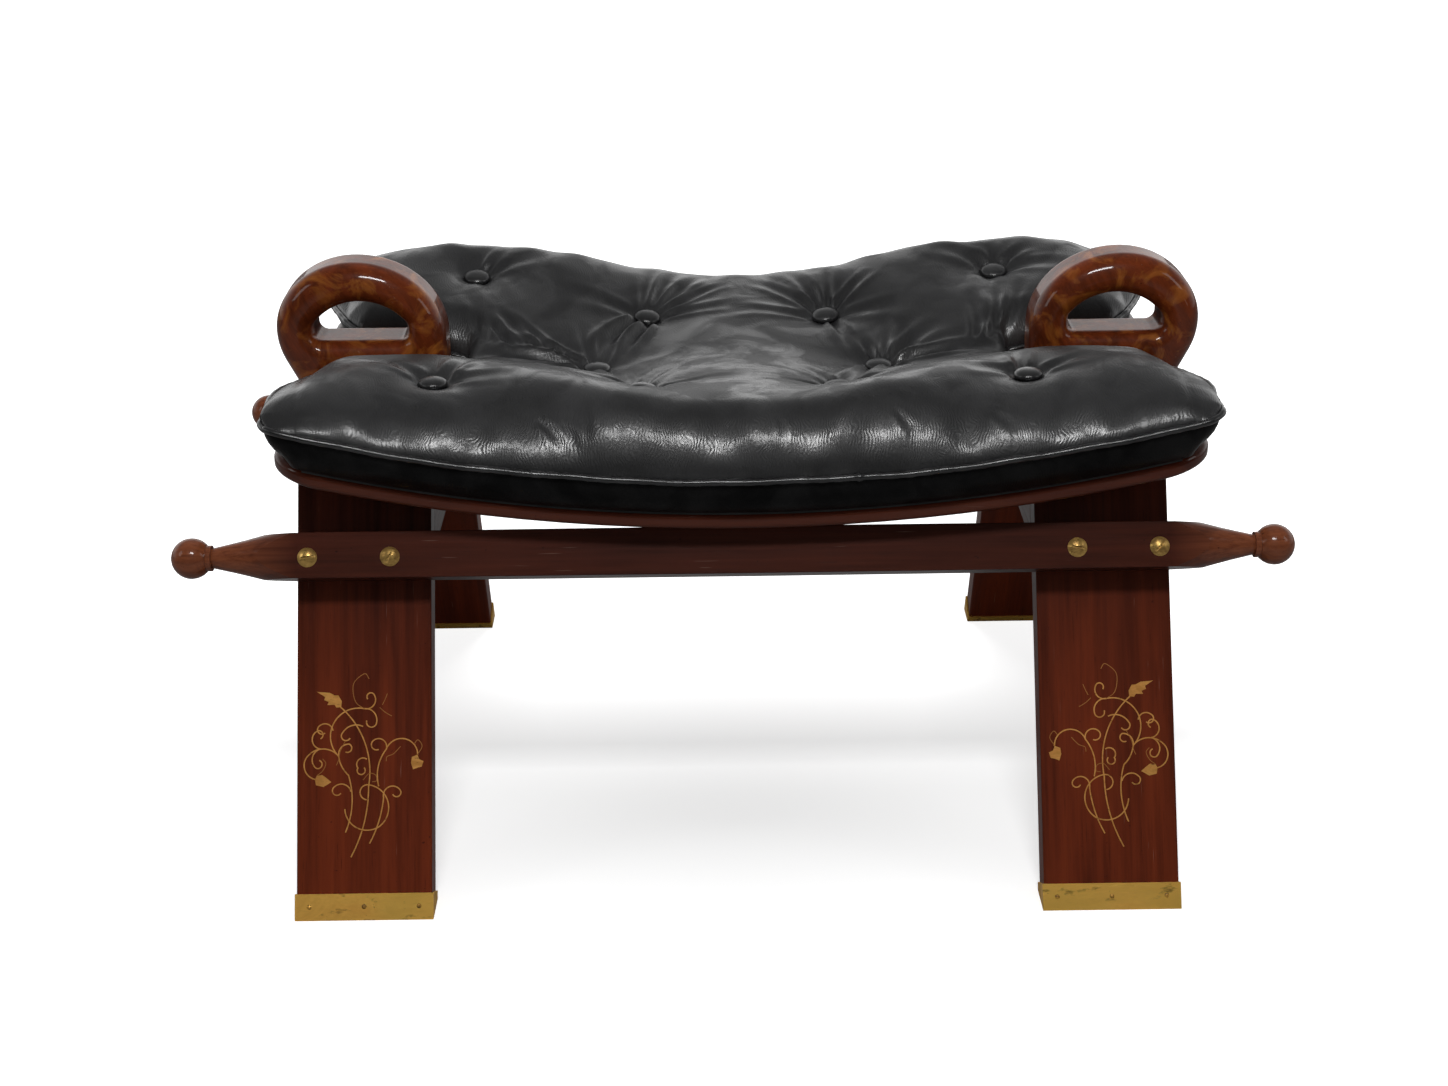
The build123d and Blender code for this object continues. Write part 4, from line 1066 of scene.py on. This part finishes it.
class STOOL_OT_buttons(bpy.types.Operator):
    """Sets the ten covered buttons into their tufts"""

    bl_idname = "camel_stool.buttons"
    bl_label = "Make the buttons"

    def execute(self, context):
        rise = context.scene.stool_cushion.button_height / MM
        r = BUTTON_RADIUS
        dome = [(r * np.cos(a), rise * np.sin(a) + BUTTON_COLLAR) for a in np.linspace(0.0, np.pi / 2, 12)]
        skirt = [(0.78 * r, -1.8), (0.93 * r, -0.9), (1.0 * r, 0.2), (1.01 * r, 0.9)]
        shape, shape_faces = turned(skirt + dome[1:-1] + [(0.0, rise + BUTTON_COLLAR)], 40)
        points, faces = [], []
        for place in BUTTONS:
            faces += [[v + len(points) * len(shape) for v in face] for face in shape_faces]
            points.append(shape @ self.lean(*place).T + self.seat(*place))
        look = context.scene.stool_finish
        leather = black_leather(
            "button_leather", tuple(look.leather), 0.5 * look.grain,
            cells=900.0, rough=0.38, gloss=0.5, polish=1.0,
        )
        points = np.concatenate(points)
        buttons = make_piece("cushion_covered_buttons", points, faces, leather, "cushion")
        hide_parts("cushion_buttons")
        return {"FINISHED"}

    def seat(self, x, y, rise):
        """A button's place: its middle just over the bottom of its tuft."""
        return np.array([x + SEAT_X, y, seat_height(x, WELT_LIFT) + rise + BUTTON_SEAT])

    def lean(self, x, y, rise):
        """The turn that sets a button square to the untufted leather there, by most of its slope, but
        by less of it at the front corners."""
        step = 6.0
        around = pillow_height(np.array([x + step, x - step, x, x]), np.array([y, y, y + step, y - step]))
        slope_x = (around[0] - around[1]) / (2 * step) + x / SEAT_RADIUS
        slope_y = (around[2] - around[3]) / (2 * step)
        share = 0.9 if y > -100.0 else 0.3
        up = Vector((-share * slope_x, -share * slope_y, 1.0)).normalized()
        return np.array(Vector((0.0, 0.0, 1.0)).rotation_difference(up).to_matrix())


class STOOL_OT_tendrils(bpy.types.Operator):
    """Lets the vine's faint tendrils into the legs' outer faces"""

    bl_idname = "camel_stool.tendrils"
    bl_label = "Make the tendrils"

    def execute(self, context):
        points, faces = [], []
        count = 0
        for stroke in TENDRILS:
            wire, wire_faces = self.ribbon(self.smooth_stroke(np.array(stroke)))
            for end, face in ((-1.0, -1.0), (-1.0, 1.0), (1.0, -1.0), (1.0, 1.0)):
                order = -1 if end * face < 0 else 1
                faces += [[v + count for v in corners[::order]] for corners in wire_faces]
                points.append(wire * np.array([end, face, 1.0]))
                count += len(wire)
        sockets = {"Base Color": INLAY_FAINT, "Roughness": 0.5, "Specular IOR Level": 0.1}
        material = new_material("tarnished_inlay", sockets)[0]
        points = np.concatenate(points)
        make_piece("vine_tendrils", points, faces, material, "frame", smooth_faces=False)
        return {"FINISHED"}

    def smooth_stroke(self, stroke):
        """A curve through the stroke's points, with the slope at each taken from its neighbours."""
        slope = np.gradient(stroke, axis=0)
        steps = np.linspace(0.0, 1.0, 8, endpoint=False)[:, None]
        runs = []
        for k in range(len(stroke) - 1):
            a, b, m, n = stroke[k], stroke[k + 1], slope[k], slope[k + 1]
            t2, t3 = steps ** 2, steps ** 3
            runs.append(
                (2 * t3 - 3 * t2 + 1) * a + (t3 - 2 * t2 + steps) * m + (3 * t2 - 2 * t3) * b + (t3 - t2) * n
            )
        return np.concatenate(runs + [stroke[-1:]])

    def ribbon(self, flat):
        """A closed flat wire along a stroke on the right rear leg's outer face, a hair proud of it."""
        run = np.gradient(flat, axis=0)
        run = run / np.linalg.norm(run, axis=1)[:, None]
        side = np.stack([-run[:, 1], run[:, 0]], -1) * TENDRIL_WIDTH / 2
        corners = [
            (flat - side, TENDRIL_TOP),
            (flat + side, TENDRIL_TOP),
            (flat + side, TENDRIL_FOOT),
            (flat - side, TENDRIL_FOOT),
        ]
        rings = np.stack([self.on_leg(plan, lift) for plan, lift in corners], 1)
        index = np.arange(rings.shape[0] * 4).reshape(-1, 4)
        index = np.concatenate([index, index[:, :1]], axis=1)
        caps = [[int(v) for v in index[0, :4]][::-1], [int(v) for v in index[-1, :4]]]
        return rings.reshape(-1, 3), quads(index, flipped=True) + caps

    def on_leg(self, plan, lift):
        """Points at x and slope height on the leg's outer face, lifted off it."""
        x = LEG_X + plan[:, 0]
        y = FOOT_REACH - plan[:, 1] * np.sin(LEG_LEAN) + lift * np.cos(LEG_LEAN)
        z = plan[:, 1] * np.cos(LEG_LEAN) + lift * np.sin(LEG_LEAN)
        return np.stack([x, y, z], -1)


class STOOL_OT_stage(bpy.types.Operator):
    """Sets the floor, the lamps and the camera"""

    bl_idname = "camel_stool.stage"
    bl_label = "Set the stage"

    def execute(self, context):
        settings = context.scene.stool_stage
        self.floor()
        self.surroundings(context.scene, settings.fill, settings.ceiling)
        powers = {"key_lamp": settings.key_power, "overhead_lamp": settings.overhead_power}
        for name, (place, target, size, in_gloss) in LAMPS.items():
            self.lamp(name, place, target, size, in_gloss, powers.get(name, settings.side_power))
        self.camera(context.scene)
        context.scene.view_settings.view_transform = "Standard"
        return {"FINISHED"}

    def floor(self):
        """A white floor. To the camera alone it glows, least in an oval just in front of the middle, so that
        its edge is as white as the background and a painted shadow stays under the stool. Other rays see it
        dark, so it sends little light up."""
        corners = [(x * FLOOR_REACH, y * FLOOR_REACH, 0.0) for x, y in ((-1, -1), (1, -1), (1, 1), (-1, 1))]
        mesh = bpy.data.meshes.new("floor")
        mesh.from_pydata(corners, [], [(0, 1, 2, 3)])
        sockets = {"Roughness": 0.9, "Specular IOR Level": 0.0, "Emission Color": WHITE}
        material, tree, shader, place = new_material("floor_white", sockets)
        seen = add(tree, "ShaderNodeLightPath").outputs["Is Camera Ray"]
        # Painted shadow: the glow is least in an oval just in front of the middle, which sets the place and
        # softness of the shadow under the stool
        shadow_oval = {"Vector": place, "Location": (0.0, 0.2, 0.0), "Scale": (0.7, 1.8, 1.0)}
        offset = add(tree, "ShaderNodeMapping", shadow_oval)
        away = add(tree, "ShaderNodeVectorMath", {0: offset.outputs[0]}, operation="LENGTH").outputs["Value"]
        glow_and_painted_shadow = maths(tree, "MULTIPLY", seen, remap(tree, away, 0.0, 0.6, 0.34, 0.85))
        tree.links.new(glow_and_painted_shadow, shader.inputs["Emission Strength"])
        tone = mix(tree, seen, (0.3, 0.3, 0.3, 1.0), (0.86, 0.86, 0.86, 1.0))
        tree.links.new(tone, shader.inputs["Base Color"])
        mesh.materials.append(material)
        floor = bpy.data.objects.new("floor", mesh)
        bpy.context.scene.collection.objects.link(floor)

    def surroundings(self, scene, fill, ceiling):
        """White to the camera. Gloss shows a white backdrop behind, a dimmer ceiling and a dark front."""
        world = bpy.data.worlds.new("white_room")
        world.use_nodes = True
        tree = world.node_tree
        tree.nodes.clear()
        path = add(tree, "ShaderNodeLightPath").outputs
        direction = add(tree, "ShaderNodeTexCoord").outputs["Generated"]
        way = add(tree, "ShaderNodeSeparateXYZ", {0: direction}).outputs
        backdrop = remap(tree, way["Z"], 0.25, 0.6, 1.0, ceiling)
        backdrop = maths(tree, "MULTIPLY", backdrop, remap(tree, way["Y"], -0.3, 0.5, 0.03, 1.15))
        mirrored = maths(tree, "MAXIMUM", path["Is Glossy Ray"], path["Is Transmission Ray"])
        strength = maths(tree, "MULTIPLY", mirrored, maths(tree, "SUBTRACT", backdrop, fill))
        strength = maths(tree, "ADD", strength, fill)
        strength = maths(tree, "MAXIMUM", strength, path["Is Camera Ray"])
        back = add(tree, "ShaderNodeBackground", {"Color": WHITE, "Strength": strength})
        output = tree.nodes.new("ShaderNodeOutputWorld")
        tree.links.new(back.outputs[0], output.inputs["Surface"])
        scene.world = world

    def lamp(self, name, place, target, size, in_gloss, power):
        """A rectangular lamp that points from its place at its target."""
        data = bpy.data.lights.new(name, "AREA")
        data.shape = "RECTANGLE"
        data.size, data.size_y = size
        data.energy = power
        lamp = bpy.data.objects.new(name, data)
        lamp.location = place
        lamp.visible_glossy = in_gloss
        lamp.rotation_euler = (Vector(target) - Vector(place)).to_track_quat("-Z", "Y").to_euler()
        bpy.context.scene.collection.objects.link(lamp)

    def camera(self, scene):
        """The camera looks along +Y, turned by its yaw, tipped down by its pitch, then rolled."""
        cos_yaw, sin_yaw = np.cos(CAMERA_YAW), np.sin(CAMERA_YAW)
        cos_pitch, sin_pitch = np.cos(CAMERA_PITCH), np.sin(CAMERA_PITCH)
        level = Vector((cos_yaw, -sin_yaw, 0.0))
        down = Vector((-sin_yaw * sin_pitch, -cos_yaw * sin_pitch, -cos_pitch))
        ahead = Vector((sin_yaw * cos_pitch, cos_yaw * cos_pitch, -sin_pitch))
        right = level * np.cos(CAMERA_ROLL) - down * np.sin(CAMERA_ROLL)
        up = -(level * np.sin(CAMERA_ROLL) + down * np.cos(CAMERA_ROLL))
        data = bpy.data.cameras.new("camera")
        data.lens = CAMERA_LENS
        camera = bpy.data.objects.new("camera", data)
        turn = Matrix((right, up, -ahead)).transposed().to_4x4()
        camera.matrix_world = Matrix.Translation(Vector(CAMERA_PLACE) * MM) @ turn
        scene.collection.objects.link(camera)
        scene.camera = camera


class STOOL_PT_panel(bpy.types.Panel):
    """Lists the stool's parts and their settings"""

    bl_label = "Camel saddle stool"
    bl_idname = "STOOL_PT_panel"
    bl_space_type = "VIEW_3D"
    bl_region_type = "UI"
    bl_category = "Camel Stool"

    def draw(self, context):
        layout = self.layout
        for maker in OPERATORS:
            layout.operator(maker.bl_idname)
        for settings in (context.scene.stool_finish, context.scene.stool_cushion, context.scene.stool_stage):
            for name in settings.bl_rna.properties.keys():
                if name not in ("rna_type", "name"):
                    layout.prop(settings, name)


OPERATORS = (
    STOOL_OT_stage,
    STOOL_OT_woodwork,
    STOOL_OT_brasswork,
    STOOL_OT_cushion,
    STOOL_OT_welt,
    STOOL_OT_buttons,
    STOOL_OT_tendrils,
)
SETTINGS = {"stool_finish": StoolFinish, "stool_cushion": StoolCushion, "stool_stage": StoolStage}


def register():
    for kind in SETTINGS.values():
        bpy.utils.register_class(kind)
    for name, kind in SETTINGS.items():
        setattr(bpy.types.Scene, name, bpy.props.PointerProperty(type=kind))
    for kind in OPERATORS + (STOOL_PT_panel,):
        bpy.utils.register_class(kind)


def unregister():
    for kind in (STOOL_PT_panel,) + OPERATORS:
        bpy.utils.unregister_class(kind)
    for name, kind in SETTINGS.items():
        delattr(bpy.types.Scene, name)
        bpy.utils.unregister_class(kind)


def main():
    """Registers the add-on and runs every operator."""
    register()
    bpy.ops.camel_stool.stage()
    bpy.ops.camel_stool.woodwork()
    bpy.ops.camel_stool.brasswork()
    bpy.ops.camel_stool.cushion()
    bpy.ops.camel_stool.welt()
    bpy.ops.camel_stool.buttons()
    bpy.ops.camel_stool.tendrils()


if __name__ == "__main__":
    main()
